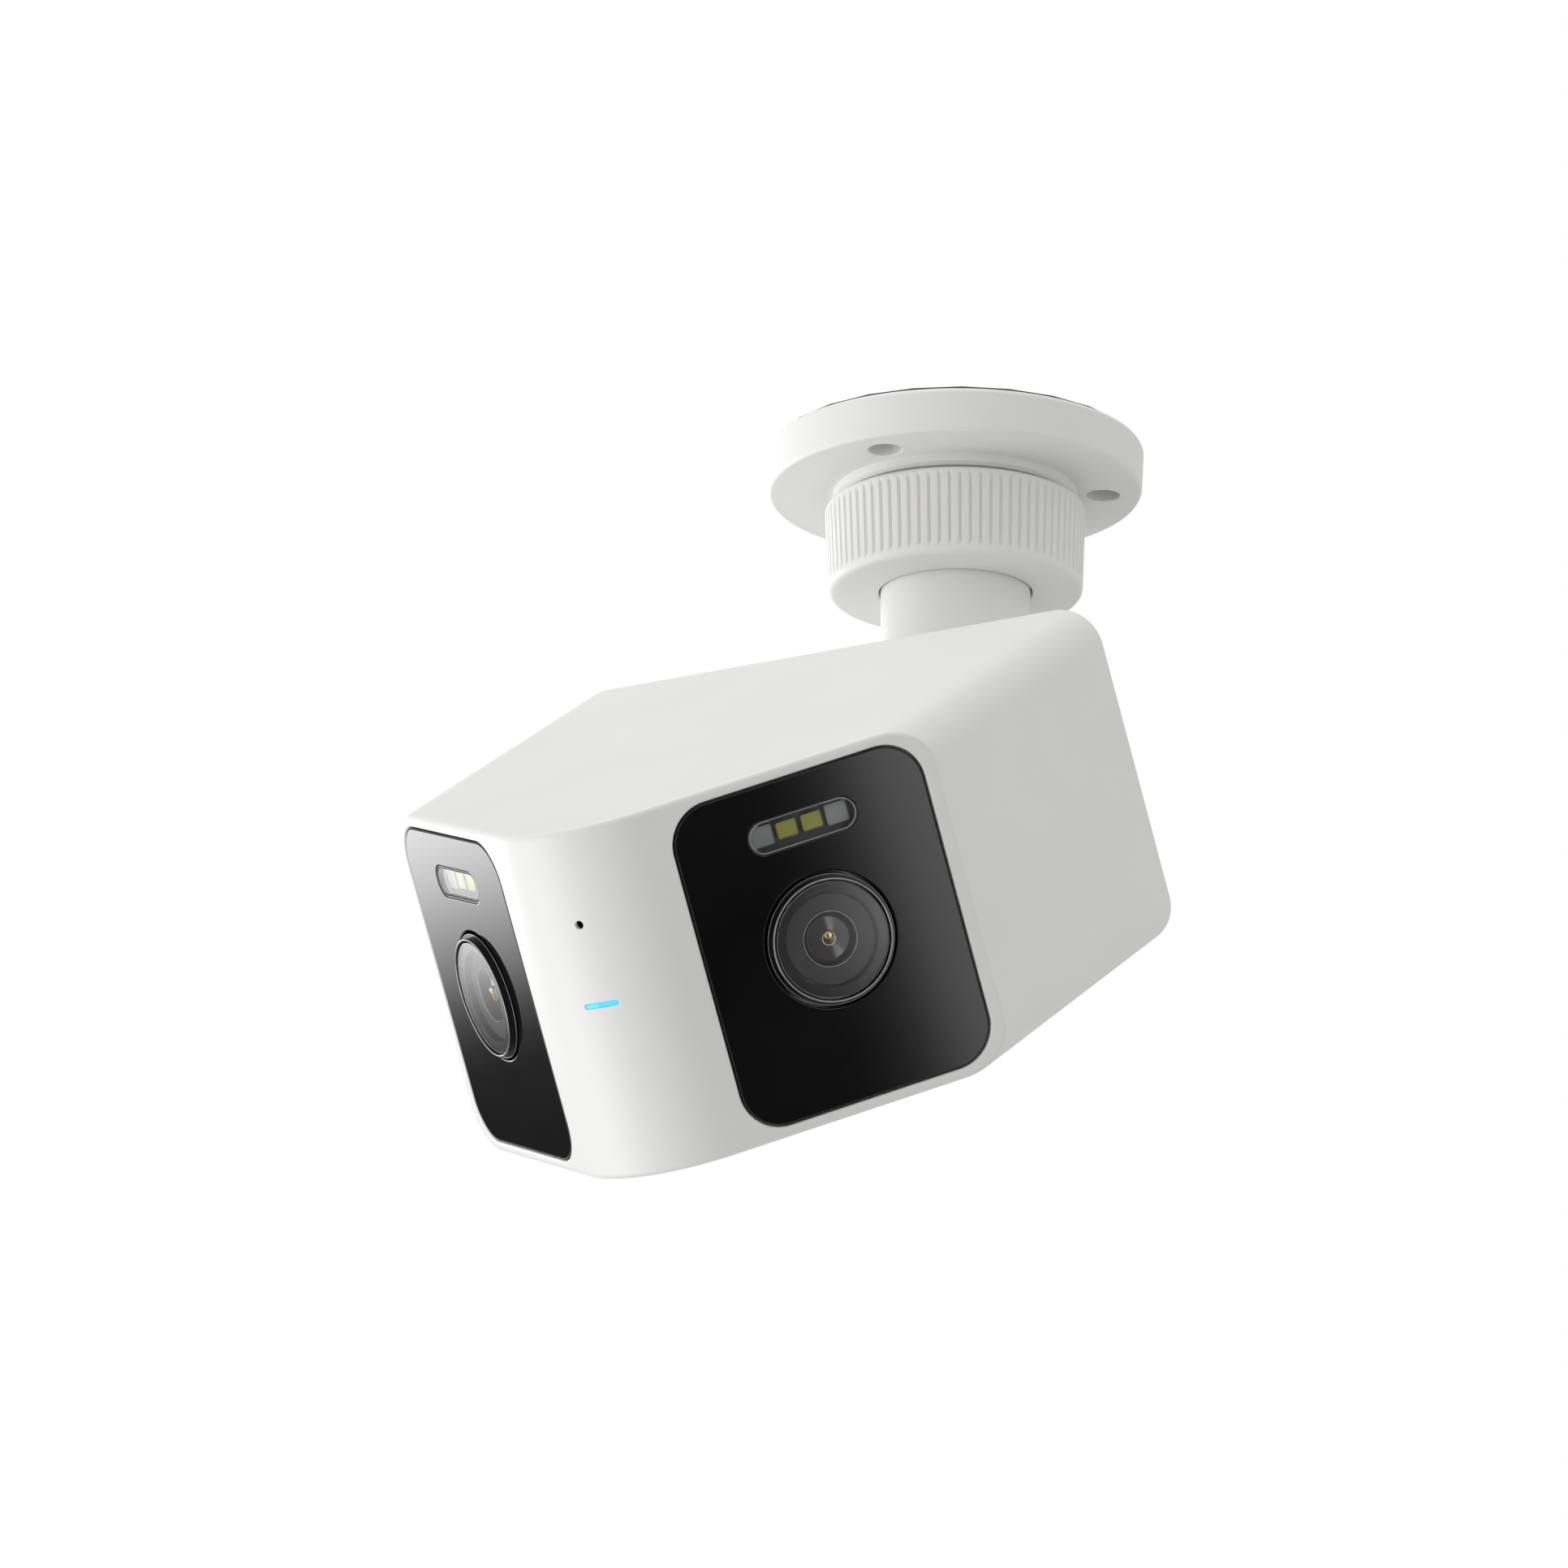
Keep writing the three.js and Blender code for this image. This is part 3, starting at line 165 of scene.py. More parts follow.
# ---- mesh building ----
class Skin:
    """Collects points in millimetres with their own normals, so that rounded edges shade exactly."""

    def __init__(self):
        self.points, self.normals, self.faces = [], [], []

    def add(self, point, normal):
        self.points.append(tuple(point))
        self.normals.append(tuple(normal))
        return len(self.points) - 1

    def row(self, points, normals):
        return [self.add(p, n) for p, n in zip(points, normals)]

    def bridge(self, first, second, closed=True):
        count = len(first)
        for i in range(count if closed else count - 1):
            j = (i + 1) % count
            self.faces.append((first[i], first[j], second[j], second[i]))

    def fill(self, loops, lift, normal_at, inside=()):
        """Fills a flat outline with holes. loops hold 2-D points, and lift gives each its 3-D place."""
        flat, edges = [], []
        for loop in loops:
            start = len(flat)
            flat.extend(Vector(p) for p in loop)
            count = len(loop)
            edges.extend((start + i, start + (i + 1) % count) for i in range(count))
        flat.extend(Vector(p) for p in inside)
        verts, _, tris, *_ = delaunay_2d_cdt(flat, edges, [], 0, 1e-7)
        index = [self.add(lift(v), normal_at(v)) for v in verts]
        for tri in tris:
            middle = sum((verts[i] for i in tri), Vector((0, 0))) / 3
            if within(middle, loops[0]) and not any(within(middle, hole) for hole in loops[1:]):
                self.faces.append(tuple(index[i] for i in tri))

    def build(self, name, matrix, body, look, nodes=(), slot=None):
        mesh = bpy.data.meshes.new(name)
        mesh.from_pydata([matrix @ (Vector(p) * MM) for p in self.points], [], self.faces)
        mesh.validate()
        turn = matrix.to_3x3()
        wanted = [(turn @ Vector(n)).normalized() for n in self.normals]
        for polygon in mesh.polygons:
            polygon.use_smooth = True
            mean = sum((wanted[i] for i in polygon.vertices), Vector())
            if polygon.normal.dot(mean) < 0:
                polygon.flip()
        mesh.normals_split_custom_set_from_vertices(wanted)
        mesh.update()
        return place(mesh, name, body, look, nodes)


def place(mesh, name, body, look, nodes=()):
    """Makes a visible piece of a mesh: it rides on a body and stands in for the CAD nodes."""
    obj = bpy.data.objects.new(name, mesh)
    bpy.context.scene.collection.objects.link(obj)
    mesh.materials.append(look)
    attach(obj, body)
    if nodes:
        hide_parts(*nodes)
    return obj


def within(point, loop):
    """Whether a 2-D point lies inside a loop."""
    inside = False
    x, y = point
    count = len(loop)
    for i in range(count):
        ax, ay = loop[i][0], loop[i][1]
        bx, by = loop[(i + 1) % count][0], loop[(i + 1) % count][1]
        if (ay > y) != (by > y) and x < (bx - ax) * (y - ay) / (by - ay) + ax:
            inside = not inside
    return inside


def rounded(width, height, radius, steps=16, cx=0.0, cy=0.0, spacing=None):
    """A rounded rectangle, anticlockwise, as (x, y, normal x, normal y).

    With spacing, its straight sides get points no further apart than that, so that they can follow a curve.
    """
    out = []
    corners = [(1, -1, -90), (1, 1, 0), (-1, 1, 90), (-1, -1, 180)]
    for sx, sy, start in corners:
        for k in range(steps + 1):
            a = math.radians(start + 90 * k / steps)
            nx, ny = math.cos(a), math.sin(a)
            out.append((
                cx + sx * (width / 2 - radius) + radius * nx,
                cy + sy * (height / 2 - radius) + radius * ny,
                nx, ny,
            ))
    if spacing:
        dense = []
        for i, p in enumerate(out):
            q = out[(i + 1) % len(out)]
            dense.append(p)
            gap = math.dist(p[:2], q[:2])
            extra = int(gap / spacing)
            for k in range(1, extra + 1):
                t = k / (extra + 1)
                dense.append((p[0] + (q[0] - p[0]) * t, p[1] + (q[1] - p[1]) * t, p[2], p[3]))
        out = dense
    return out


def circle(radius, count=64, cx=0.0, cy=0.0):
    """A circle, anticlockwise, as (x, y, normal x, normal y)."""
    out = []
    for k in range(count):
        a = 2 * math.pi * k / count
        out.append((cx + radius * math.cos(a), cy + radius * math.sin(a), math.cos(a), math.sin(a)))
    return out


def hole(loop):
    """The same outline as the edge of a hole: clockwise, with its normals turned inward."""
    return [(x, y, -nx, -ny) for x, y, nx, ny in reversed(loop)]


def shifted(loop, inward):
    """The outline's points, moved against their normals."""
    return [(x - nx * inward, y - ny * inward) for x, y, nx, ny in loop]


def slab(loops, back, front, round_front=0.2, round_back=0.0, steps=4):
    """A plate with holes between two heights, with rounded rims."""
    skin = Skin()
    for loop in loops:
        rows = []
        if round_back > 0:
            for k in range(steps + 1):
                a = math.pi / 2 * k / steps
                pts = shifted(loop, round_back * (1 - math.sin(a)))
                z = back + round_back * (1 - math.cos(a))
                rows.append(skin.row(
                    [(x, y, z) for x, y in pts],
                    [(p[2] * math.sin(a), p[3] * math.sin(a), -math.cos(a)) for p in loop],
                ))
        else:
            rows.append(skin.row([(p[0], p[1], back) for p in loop], [(p[2], p[3], 0) for p in loop]))
        for k in range(steps + 1):
            a = math.pi / 2 * k / steps
            pts = shifted(loop, round_front * (1 - math.cos(a)))
            z = front - round_front * (1 - math.sin(a))
            rows.append(skin.row(
                [(x, y, z) for x, y in pts],
                [(p[2] * math.cos(a), p[3] * math.cos(a), math.sin(a)) for p in loop],
            ))
        for first, second in zip(rows, rows[1:]):
            skin.bridge(first, second)
    skin.fill([shifted(p, round_front) for p in loops], lambda v: (v[0], v[1], front), lambda v: (0, 0, 1))
    skin.fill([shifted(p, round_back) for p in loops], lambda v: (v[0], v[1], back), lambda v: (0, 0, -1))
    return skin


def turned(profile, count=96, cx=0.0, cy=0.0, skin=None, closed=False):
    """Turns a profile of (radius, height, corner rounding) about Z. It runs anticlockwise."""
    skin = skin or Skin()
    pts = [Vector((p[0], p[1])) for p in profile]
    rho = [p[2] if len(p) > 2 else 0.0 for p in profile]
    n = len(pts)
    track = []
    spans = n if closed else n - 1

    def heading(i):
        return (pts[(i + 1) % n] - pts[i]).normalized()

    for i in range(spans):
        j = (i + 1) % n
        d = heading(i)
        normal = Vector((d.y, -d.x))
        track.append((pts[i] + d * cut_back(pts, rho, i, closed), normal))
        track.append((pts[j] - d * cut_back(pts, rho, j, closed), normal))
        has_next = closed or i < spans - 1
        if has_next and rho[j] > 0:
            e = heading(j)
            nxt = Vector((e.y, -e.x))
            turn = math.atan2(d.x * e.y - d.y * e.x, d.dot(e))
            if abs(turn) > 1e-4:
                r = rho[j] if turn > 0 else -rho[j]
                centre = track[-1][0] - normal * r
                steps = max(3, int(abs(turn) / math.radians(15)))
                for k in range(1, steps):
                    a = turn * k / steps
                    m = Vector((
                        normal.x * math.cos(a) - normal.y * math.sin(a),
                        normal.x * math.sin(a) + normal.y * math.cos(a),
                    ))
                    track.append((centre + m * r, m))
                track.append((centre + nxt * r, nxt))
    previous = None
    for point, normal in track:
        ring = []
        for k in range(count):
            a = 2 * math.pi * k / count
            c, s = math.cos(a), math.sin(a)
            place_on_ring = (cx + point.x * c, cy + point.x * s, point.y)
            ring.append(skin.add(place_on_ring, (normal.x * c, normal.x * s, normal.y)))
        if previous is not None and (point - previous[0]).length > 1e-6:
            skin.bridge(previous[1], ring)
        previous = (point, ring)
    return skin


def cut_back(pts, rho, i, closed):
    """How far a rounded corner takes off each of its two sides."""
    n = len(pts)
    if rho[i] <= 0 or (not closed and i in (0, n - 1)):
        return 0.0
    a = (pts[i] - pts[i - 1]).normalized()
    b = (pts[(i + 1) % n] - pts[i]).normalized()
    turn = abs(math.atan2(a.x * b.y - a.y * b.x, a.dot(b)))
    return rho[i] * math.tan(turn / 2)


def refined(node, body, look, bevel):
    """A smoother copy of a CAD node: coplanar faces merged, sharp edges rounded."""
    angle = math.radians(32)
    name = f"{node}_skin"
    source = frame["nodes"][node]
    bm = bmesh.new()
    bm.from_mesh(source.data)
    bm.transform(source.matrix_world)
    bmesh.ops.remove_doubles(bm, verts=bm.verts, dist=2e-6)
    bmesh.ops.dissolve_limit(
        bm, angle_limit=math.radians(0.7), verts=bm.verts, edges=bm.edges, delimit={"NORMAL"})
    if bevel > 0:
        edges = [e for e in bm.edges if len(e.link_faces) == 2 and e.calc_face_angle(0) > angle]
        bmesh.ops.bevel(
            bm, geom=edges, offset=bevel * MM, segments=3, profile=0.5, affect="EDGES",
            clamp_overlap=True, harden_normals=False)
    mesh = bpy.data.meshes.new(name)
    bm.to_mesh(mesh)
    bm.free()
    for polygon in mesh.polygons:
        polygon.use_smooth = True
    obj = place(mesh, name, body, look, (node,))
    mesh.set_sharp_from_angle(angle=angle)
    weighted = obj.modifiers.new("weighted", "WEIGHTED_NORMAL")
    weighted.keep_sharp = True
    weighted.weight = 90


# ---- materials ----
def material(name):
    look = bpy.data.materials.new(name)
    look.use_nodes = True
    return look, look.node_tree.nodes, look.node_tree.links, look.node_tree.nodes["Principled BSDF"]


def noise(nodes, links, scale, detail=3.0, roughness=0.5):
    coords = nodes.new("ShaderNodeTexCoord")
    texture = nodes.new("ShaderNodeTexNoise")
    texture.inputs["Scale"].default_value = scale
    texture.inputs["Detail"].default_value = detail
    texture.inputs["Roughness"].default_value = roughness
    links.new(coords.outputs["Object"], texture.inputs["Vector"])
    return texture


def ramp(nodes, links, source, stops):
    node = nodes.new("ShaderNodeValToRGB")
    links.new(source, node.inputs["Fac"])
    elements = node.color_ramp.elements
    while len(elements) < len(stops):
        elements.new(0.5)
    for element, (position, colour) in zip(elements, stops):
        element.position = position
        element.color = (*colour, 1.0)
    return node


def spread(nodes, links, source, low, high):
    """Maps 0 to 1 onto low to high."""
    node = nodes.new("ShaderNodeMapRange")
    node.inputs["To Min"].default_value = low
    node.inputs["To Max"].default_value = high
    links.new(source, node.inputs["Value"])
    return node.outputs["Result"]


def bump(nodes, links, shader, height, strength, distance=0.00005):
    node = nodes.new("ShaderNodeBump")
    node.inputs["Strength"].default_value = strength
    node.inputs["Distance"].default_value = distance
    links.new(height, node.inputs["Height"])
    links.new(node.outputs["Normal"], shader.inputs["Normal"])


def plastic(name, colour, roughness, grain, grain_strength, shade=0.02, rough_spread=0.05, **sockets):
    """Moulded plastic: fine spark-eroded grain, faint tone and gloss variation."""
    look, nodes, links, shader = material(name)
    broad = noise(nodes, links, 38.0, 2.0)
    dark = tuple(max(c - shade * max(c, 0.15), 0.0) for c in colour)
    links.new(ramp(nodes, links, broad.outputs["Fac"], [(0.3, dark), (0.7, colour)]).outputs["Color"],
              shader.inputs["Base Color"])
    fine = noise(nodes, links, grain, 4.0, 0.6)
    links.new(spread(nodes, links, fine.outputs["Fac"], roughness - rough_spread, roughness + rough_spread),
              shader.inputs["Roughness"])
    if grain_strength > 0:
        bump(nodes, links, shader, fine.outputs["Fac"], grain_strength)
    for key, value in sockets.items():
        shader.inputs[key.replace("_", " ")].default_value = value
    return look


def metal(name, colour, roughness, stretch=(1, 1, 12)):
    """Brushed metal: streaks along one direction."""
    look, nodes, links, shader = material(name)
    coords = nodes.new("ShaderNodeTexCoord")
    mapping = nodes.new("ShaderNodeMapping")
    mapping.inputs["Scale"].default_value = stretch
    texture = nodes.new("ShaderNodeTexNoise")
    texture.inputs["Scale"].default_value = 900.0
    texture.inputs["Detail"].default_value = 3.0
    links.new(coords.outputs["Object"], mapping.inputs["Vector"])
    links.new(mapping.outputs["Vector"], texture.inputs["Vector"])
    links.new(ramp(nodes, links, texture.outputs["Fac"], [
        (0.3, tuple(c * 0.85 for c in colour)), (0.7, colour)]).outputs["Color"], shader.inputs["Base Color"])
    links.new(spread(nodes, links, texture.outputs["Fac"], roughness - 0.08, roughness + 0.08),
              shader.inputs["Roughness"])
    shader.inputs["Metallic"].default_value = 1.0
    bump(nodes, links, shader, texture.outputs["Fac"], 0.1)
    return look


def clear(name, colour, roughness, ior):
    """Clear moulded or polished glass."""
    look, nodes, links, shader = material(name)
    texture = noise(nodes, links, 420.0, 2.0)
    links.new(spread(nodes, links, texture.outputs["Fac"], max(roughness - 0.02, 0.0), roughness + 0.02),
              shader.inputs["Roughness"])
    tint = tuple(c * 0.97 for c in colour)
    links.new(ramp(nodes, links, texture.outputs["Fac"], [(0.35, tint), (0.65, colour)]).outputs["Color"],
              shader.inputs["Base Color"])
    shader.inputs["Transmission Weight"].default_value = 1.0
    shader.inputs["IOR"].default_value = ior
    return look


WHITE = plastic("shell_white", (0.80, 0.80, 0.795), 0.42, grain=3200.0, grain_strength=0.10)
MOUNT_WHITE = plastic("mount_white", (0.80, 0.80, 0.795), 0.46, grain=3000.0, grain_strength=0.10)
PANEL = plastic("panel_black", (0.0035, 0.0035, 0.0038), 0.06, grain=500.0, grain_strength=0.0,
                rough_spread=0.02, IOR=1.49)
TRIM = plastic("trim_black", (0.006, 0.006, 0.0065), 0.2, grain=900.0, grain_strength=0.02, rough_spread=0.04)
BARREL = plastic("barrel_grey", (0.15, 0.15, 0.153), 0.5, grain=2500.0, grain_strength=0.2)
RUBBER = plastic("rubber_black", (0.02, 0.02, 0.021), 0.75, grain=1500.0, grain_strength=0.35,
                 rough_spread=0.08)
FOAM = plastic("pad_foam", (0.06, 0.06, 0.062), 0.9, grain=1400.0, grain_strength=0.6, rough_spread=0.05)
BOARD = plastic("board_green", (0.012, 0.10, 0.045), 0.38, grain=1200.0, grain_strength=0.15, shade=0.25)
LED_BOARD = plastic("led_board_grey", (0.16, 0.16, 0.163), 0.45, grain=1200.0, grain_strength=0.12, shade=0.08)
STEEL = metal("screw_steel", (0.62, 0.62, 0.63), 0.3)
ALUMINIUM = metal("aluminium", (0.66, 0.67, 0.68), 0.4)
CAN = metal("shield_tin", (0.72, 0.72, 0.70), 0.25)
LED_CLEAR = clear("led_window_clear", (0.97, 0.98, 0.98), 0.05, ior=1.25)
LENS_CLEAR = clear("lens_cover_clear", (0.97, 0.97, 0.97), 0.02, ior=1.85)
FILTER = plastic("filter_red", (0.16, 0.03, 0.025), 0.12, grain=600.0, grain_strength=0.0, shade=0.2)
PHOSPHOR = plastic("led_phosphor", (0.52, 0.51, 0.10), 0.45, grain=5200.0, grain_strength=0.4, shade=0.12)
LED_BODY = plastic("led_body_white", (0.36, 0.35, 0.16), 0.4, grain=2600.0, grain_strength=0.1)
INFRARED = plastic("led_infrared", (0.44, 0.44, 0.45), 0.35, grain=3000.0, grain_strength=0.1, shade=0.2)


def status_look():
    """The lit end of the status light's pipe."""
    look, nodes, links, shader = material("status_blue")
    texture = noise(nodes, links, 900.0, 2.0)
    colour = ramp(nodes, links, texture.outputs["Fac"], [(0.2, (0.02, 0.38, 0.9)), (0.8, (0.05, 0.5, 1.0))])
    links.new(colour.outputs["Color"], shader.inputs["Base Color"])
    links.new(colour.outputs["Color"], shader.inputs["Emission Color"])
    shader.inputs["Emission Strength"].default_value = 0.9
    shader.inputs["Roughness"].default_value = 0.3
    return look


STATUS = status_look()


def coated_lens_with_painted_sheen():
    """A dark coated lens whose colour follows the angle to the viewer: lighter and warmer face-on as painted
    reflection, darker and bluer towards its edge.
    """
    look, nodes, links, shader = material("lens_coating_painted_sheen")
    # Painted reflection: the base colour is set by the angle to the viewer.
    facing = nodes.new("ShaderNodeLayerWeight")
    facing.inputs["Blend"].default_value = 0.35
    colour = ramp(nodes, links, facing.outputs["Facing"], [
        (0.0, (0.14, 0.13, 0.12)), (0.35, (0.12, 0.12, 0.125)), (1.0, (0.06, 0.065, 0.08))])
    links.new(colour.outputs["Color"], shader.inputs["Base Color"])
    texture = noise(nodes, links, 300.0, 1.0)
    links.new(spread(nodes, links, texture.outputs["Fac"], 0.01, 0.04), shader.inputs["Roughness"])
    shader.inputs["Coat Weight"].default_value = 1.0
    shader.inputs["Coat Roughness"].default_value = 0.02
    return look


ELEMENT_PAINTED_SHEEN = coated_lens_with_painted_sheen()
# Bright gold metal for the small dome and ring in the front lens's middle: painted glints.
GOLD_GLINT = metal("lens_gold_glint", (1.0, 0.76, 0.46), 0.18, (1, 1, 1))
# A lighter metal for thin rings on the lens trim and barrel: painted highlights on their edges.
RIM_HIGHLIGHT = metal("lens_rim_highlight", (0.34, 0.34, 0.35), 0.16, (1, 1, 1))
# Grey plastic for a thin ring round the LED window's edge: a painted highlight along the edge of the clear
# window.
LED_RIM_HIGHLIGHT = plastic("led_window_rim_painted_highlight", (0.30, 0.30, 0.305), 0.3, grain=900.0, grain_strength=0.0)

# ---- camera, first in the making ----
IMAGE = 1932
FOCAL_PIXELS = 14000
SENSOR = 36.0
camera_data = bpy.data.cameras.new("camera")
camera_data.sensor_width = SENSOR
camera_data.lens = FOCAL_PIXELS / IMAGE * SENSOR
camera_data.clip_end = 50.0
camera = bpy.data.objects.new("camera", camera_data)
bpy.context.scene.collection.objects.link(camera)
right = Vector((0.8777, 0.4791, 0.0)).normalized()
back = Vector((0.4545, -0.8326, -0.3165)).normalized()
up = back.cross(right).normalized()
right = up.cross(back).normalized()
place_camera = Matrix((right, up, back)).transposed().to_4x4()
place_camera.translation = Vector((850.5, -1619.1, -670.5)) * MM
camera.matrix_world = place_camera
bpy.context.scene.camera = camera


# ---- housing ----
def front_y(x, inset):
    """Where the front lies at x, moved inward by inset: the round nose, then a slanted face."""
    r = NOSE_RADIUS - inset
    if abs(x) < r * math.sin(FACE_ANGLE):
        return NOSE_CENTRE - math.sqrt(r * r - x * x)
    return APEX + inset / math.cos(FACE_ANGLE) + abs(x) * math.tan(FACE_ANGLE)


def front_normal(x, inset):
    r = NOSE_RADIUS - inset
    limit = r * math.sin(FACE_ANGLE)
    if abs(x) <= limit + 1e-9:
        return Vector((x / r, -math.sqrt(max(1 - (x / r) ** 2, 0)), 0))
    return Vector((math.copysign(math.sin(FACE_ANGLE), x), -math.cos(FACE_ANGLE), 0))


def on_nose(v, depth=0.0):
    """Wraps (arc length, height) round the nose."""
    a = v[0] / NOSE_RADIUS
    r = NOSE_RADIUS - depth
    return (r * math.sin(a), NOSE_CENTRE - r * math.cos(a), v[1])


def nose_normal(v):
    a = v[0] / NOSE_RADIUS
    return (math.sin(a), -math.cos(a), 0)


def slerp(a, b, t):
    """The direction a share t of the way from one unit vector to another."""
    angle = math.acos(max(-1.0, min(1.0, a.dot(b))))
    if angle < 1e-6:
        return a.copy()
    return (a * math.sin((1 - t) * angle) + b * math.sin(t * angle)) / math.sin(angle)


def housing_skin():
    """The outer shell: rounded edges, rear rebate, nose, window pockets, door opening and speaker grille."""
    skin = Skin()
    half_w, half_h = BODY_WIDTH / 2, BODY_HEIGHT / 2
    inner_r = NOSE_RADIUS - EDGE_FRONT
    nose_steps = 44
    corner_steps = 24
    nose_x = [inner_r * math.sin(FACE_ANGLE * (2 * k / nose_steps - 1)) for k in range(nose_steps + 1)]
    flat_to = half_w - BODY_CORNER

    # The body's outline seen from the front, as (x, z, normal x, normal z).
    loop = []
    for sx, sz, start in [(1, -1, -90), (1, 1, 0), (-1, 1, 90), (-1, -1, 180)]:
        for k in range(corner_steps + 1):
            a = math.radians(start + 90 * k / corner_steps)
            nx, nz = math.cos(a), math.sin(a)
            x = sx * flat_to + BODY_CORNER * nx
            z = sz * (half_h - BODY_CORNER) + BODY_CORNER * nz
            loop.append((x, z, nx, nz))
        if (sx, sz) == (1, 1):
            loop.extend((x, half_h, 0.0, 1.0) for x in nose_x[::-1])
        if (sx, sz) == (-1, -1):
            loop.extend((x, -half_h, 0.0, -1.0) for x in nose_x)

    def below(i):
        return loop[i][3] < -0.9999

    # The front edge rolls from the side walls to the front's own slope.
    lateral = [Vector((nx, 0, nz)) for _, _, nx, nz in loop]
    centres = []
    for x, z, nx, nz in loop:
        cx, cz = x - EDGE_FRONT * nx, z - EDGE_FRONT * nz
        centres.append(Vector((cx, front_y(cx, EDGE_FRONT), cz)))
    caps = [front_normal(c.x, EDGE_FRONT) for c in centres]
    rows = []
    steps = 7
    for k in range(steps + 1):
        normals = [slerp(a, b, k / steps) for a, b in zip(lateral, caps)]
        rows.append(skin.row([c + EDGE_FRONT * n for c, n in zip(centres, normals)], normals))
    for first, second in zip(rows, rows[1:]):
        skin.bridge(first, second)

    back_rows = []
    for k in range(steps + 1):
        a = math.pi / 2 * k / steps
        normals = [n * math.cos(a) + Vector((0, math.sin(a), 0)) for n in lateral]
        points = [
            Vector((x - EDGE_BACK * nx, BODY_BACK - EDGE_BACK, z - EDGE_BACK * nz)) + EDGE_BACK * n
            for (x, z, nx, nz), n in zip(loop, normals)
        ]
        back_rows.append(skin.row(points, normals))
    for first, second in zip(back_rows, back_rows[1:]):
        skin.bridge(second, first)

    # The long walls, with the underside left for its own outline with holes.
    count = len(loop)
    for i in range(count):
        j = (i + 1) % count
        if below(i) and below(j):
            continue
        skin.faces.append((rows[0][i], rows[0][j], back_rows[0][j], back_rows[0][i]))
    under = [i for i in range(count) if below(i)]
    under.sort(key=lambda i: skin.points[rows[0][i]][0])
    outline = [skin.points[rows[0][i]][:2] for i in under]
    outline += [skin.points[back_rows[0][i]][:2] for i in reversed(under)]
    outline = [p for i, p in enumerate(outline) if math.dist(p, outline[i - 1]) > 1e-6]
    door_middle = DOOR_Y + (DOOR_HINGE_ROOM - DOOR_GAP - DOOR_LONG) / 2
    door_loop = rounded(
        DOOR_WIDE + 2 * DOOR_GAP, DOOR_LONG + DOOR_GAP + DOOR_HINGE_ROOM, 2 * DOOR_GAP, 5, 0, door_middle)
    grille = [
        circle(GRILLE_HOLE, 20, column * GRILLE_PITCH, GRILLE_Y + row * GRILLE_PITCH)
        for row in (-1, 0, 1) for column in range(-3, 4)
    ]
    cuts = [door_loop] + grille
    skin.fill([outline] + [[p[:2] for p in c] for c in cuts],
              lambda v: (v[0], v[1], -half_h), lambda v: (0, 0, -1))
    for cut in cuts:
        wall = hole(cut)
        low = skin.row([(p[0], p[1], -half_h) for p in wall], [(p[2], p[3], 0) for p in wall])
        high = skin.row([(p[0], p[1], -half_h + SIDE_WALL) for p in wall], [(p[2], p[3], 0) for p in wall])
        skin.bridge(low, high)

    # Rear rim, rebate and step.
    rearward = [(0, 1, 0)] * count
    inward = [(-nx, 0, -nz) for _, _, nx, nz in loop]

    def inset_row(inset, y, normals):
        return skin.row([(x - inset * nx, y, z - inset * nz) for x, z, nx, nz in loop], normals)

    rim_outer = inset_row(EDGE_BACK, BODY_BACK, rearward)
    rim_inner = inset_row(REAR_RIM, BODY_BACK, rearward)
    rebate_top = inset_row(REAR_RIM, BODY_BACK, inward)
    rebate_low = inset_row(REAR_RIM, REAR_STEP, inward)
    step_outer = inset_row(REAR_RIM, REAR_STEP, rearward)
    step_inner = inset_row(SIDE_WALL, REAR_STEP, rearward)
    inner_back = inset_row(SIDE_WALL, REAR_STEP, inward)
    skin.bridge(rim_outer, rim_inner)
    skin.bridge(rebate_top, rebate_low)
    skin.bridge(step_outer, step_inner)
    inner_front = skin.row(
        [(x - SIDE_WALL * nx, front_y(x - SIDE_WALL * nx, FRONT_WALL), z - SIDE_WALL * nz)
         for x, z, nx, nz in loop], inward)
    for i in range(count):
        j = (i + 1) % count
        if below(i) and below(j):
            continue
        skin.faces.append((inner_back[i], inner_back[j], inner_front[j], inner_front[i]))
    inner_outline = [skin.points[inner_front[i]][:2] for i in under]
    inner_outline += [skin.points[inner_back[i]][:2] for i in reversed(under)]
    skin.fill([inner_outline] + [[p[:2] for p in c] for c in cuts],
              lambda v: (v[0], v[1], -half_h + SIDE_WALL), lambda v: (0, 0, 1))

    # Nose, in arc length and height, with the microphone hole and the status slot.
    top = half_h - EDGE_FRONT
    arc = [NOSE_RADIUS * FACE_ANGLE * (2 * k / nose_steps - 1) for k in range(nose_steps + 1)]
    strip = [(s, -top) for s in arc] + [(s, top) for s in reversed(arc)]
    mic = circle(MIC_RADIUS, 28, 0, MIC_HEIGHT)
    slot = rounded(*STATUS_SLOT, 5, 0, 0, spacing=0.4)
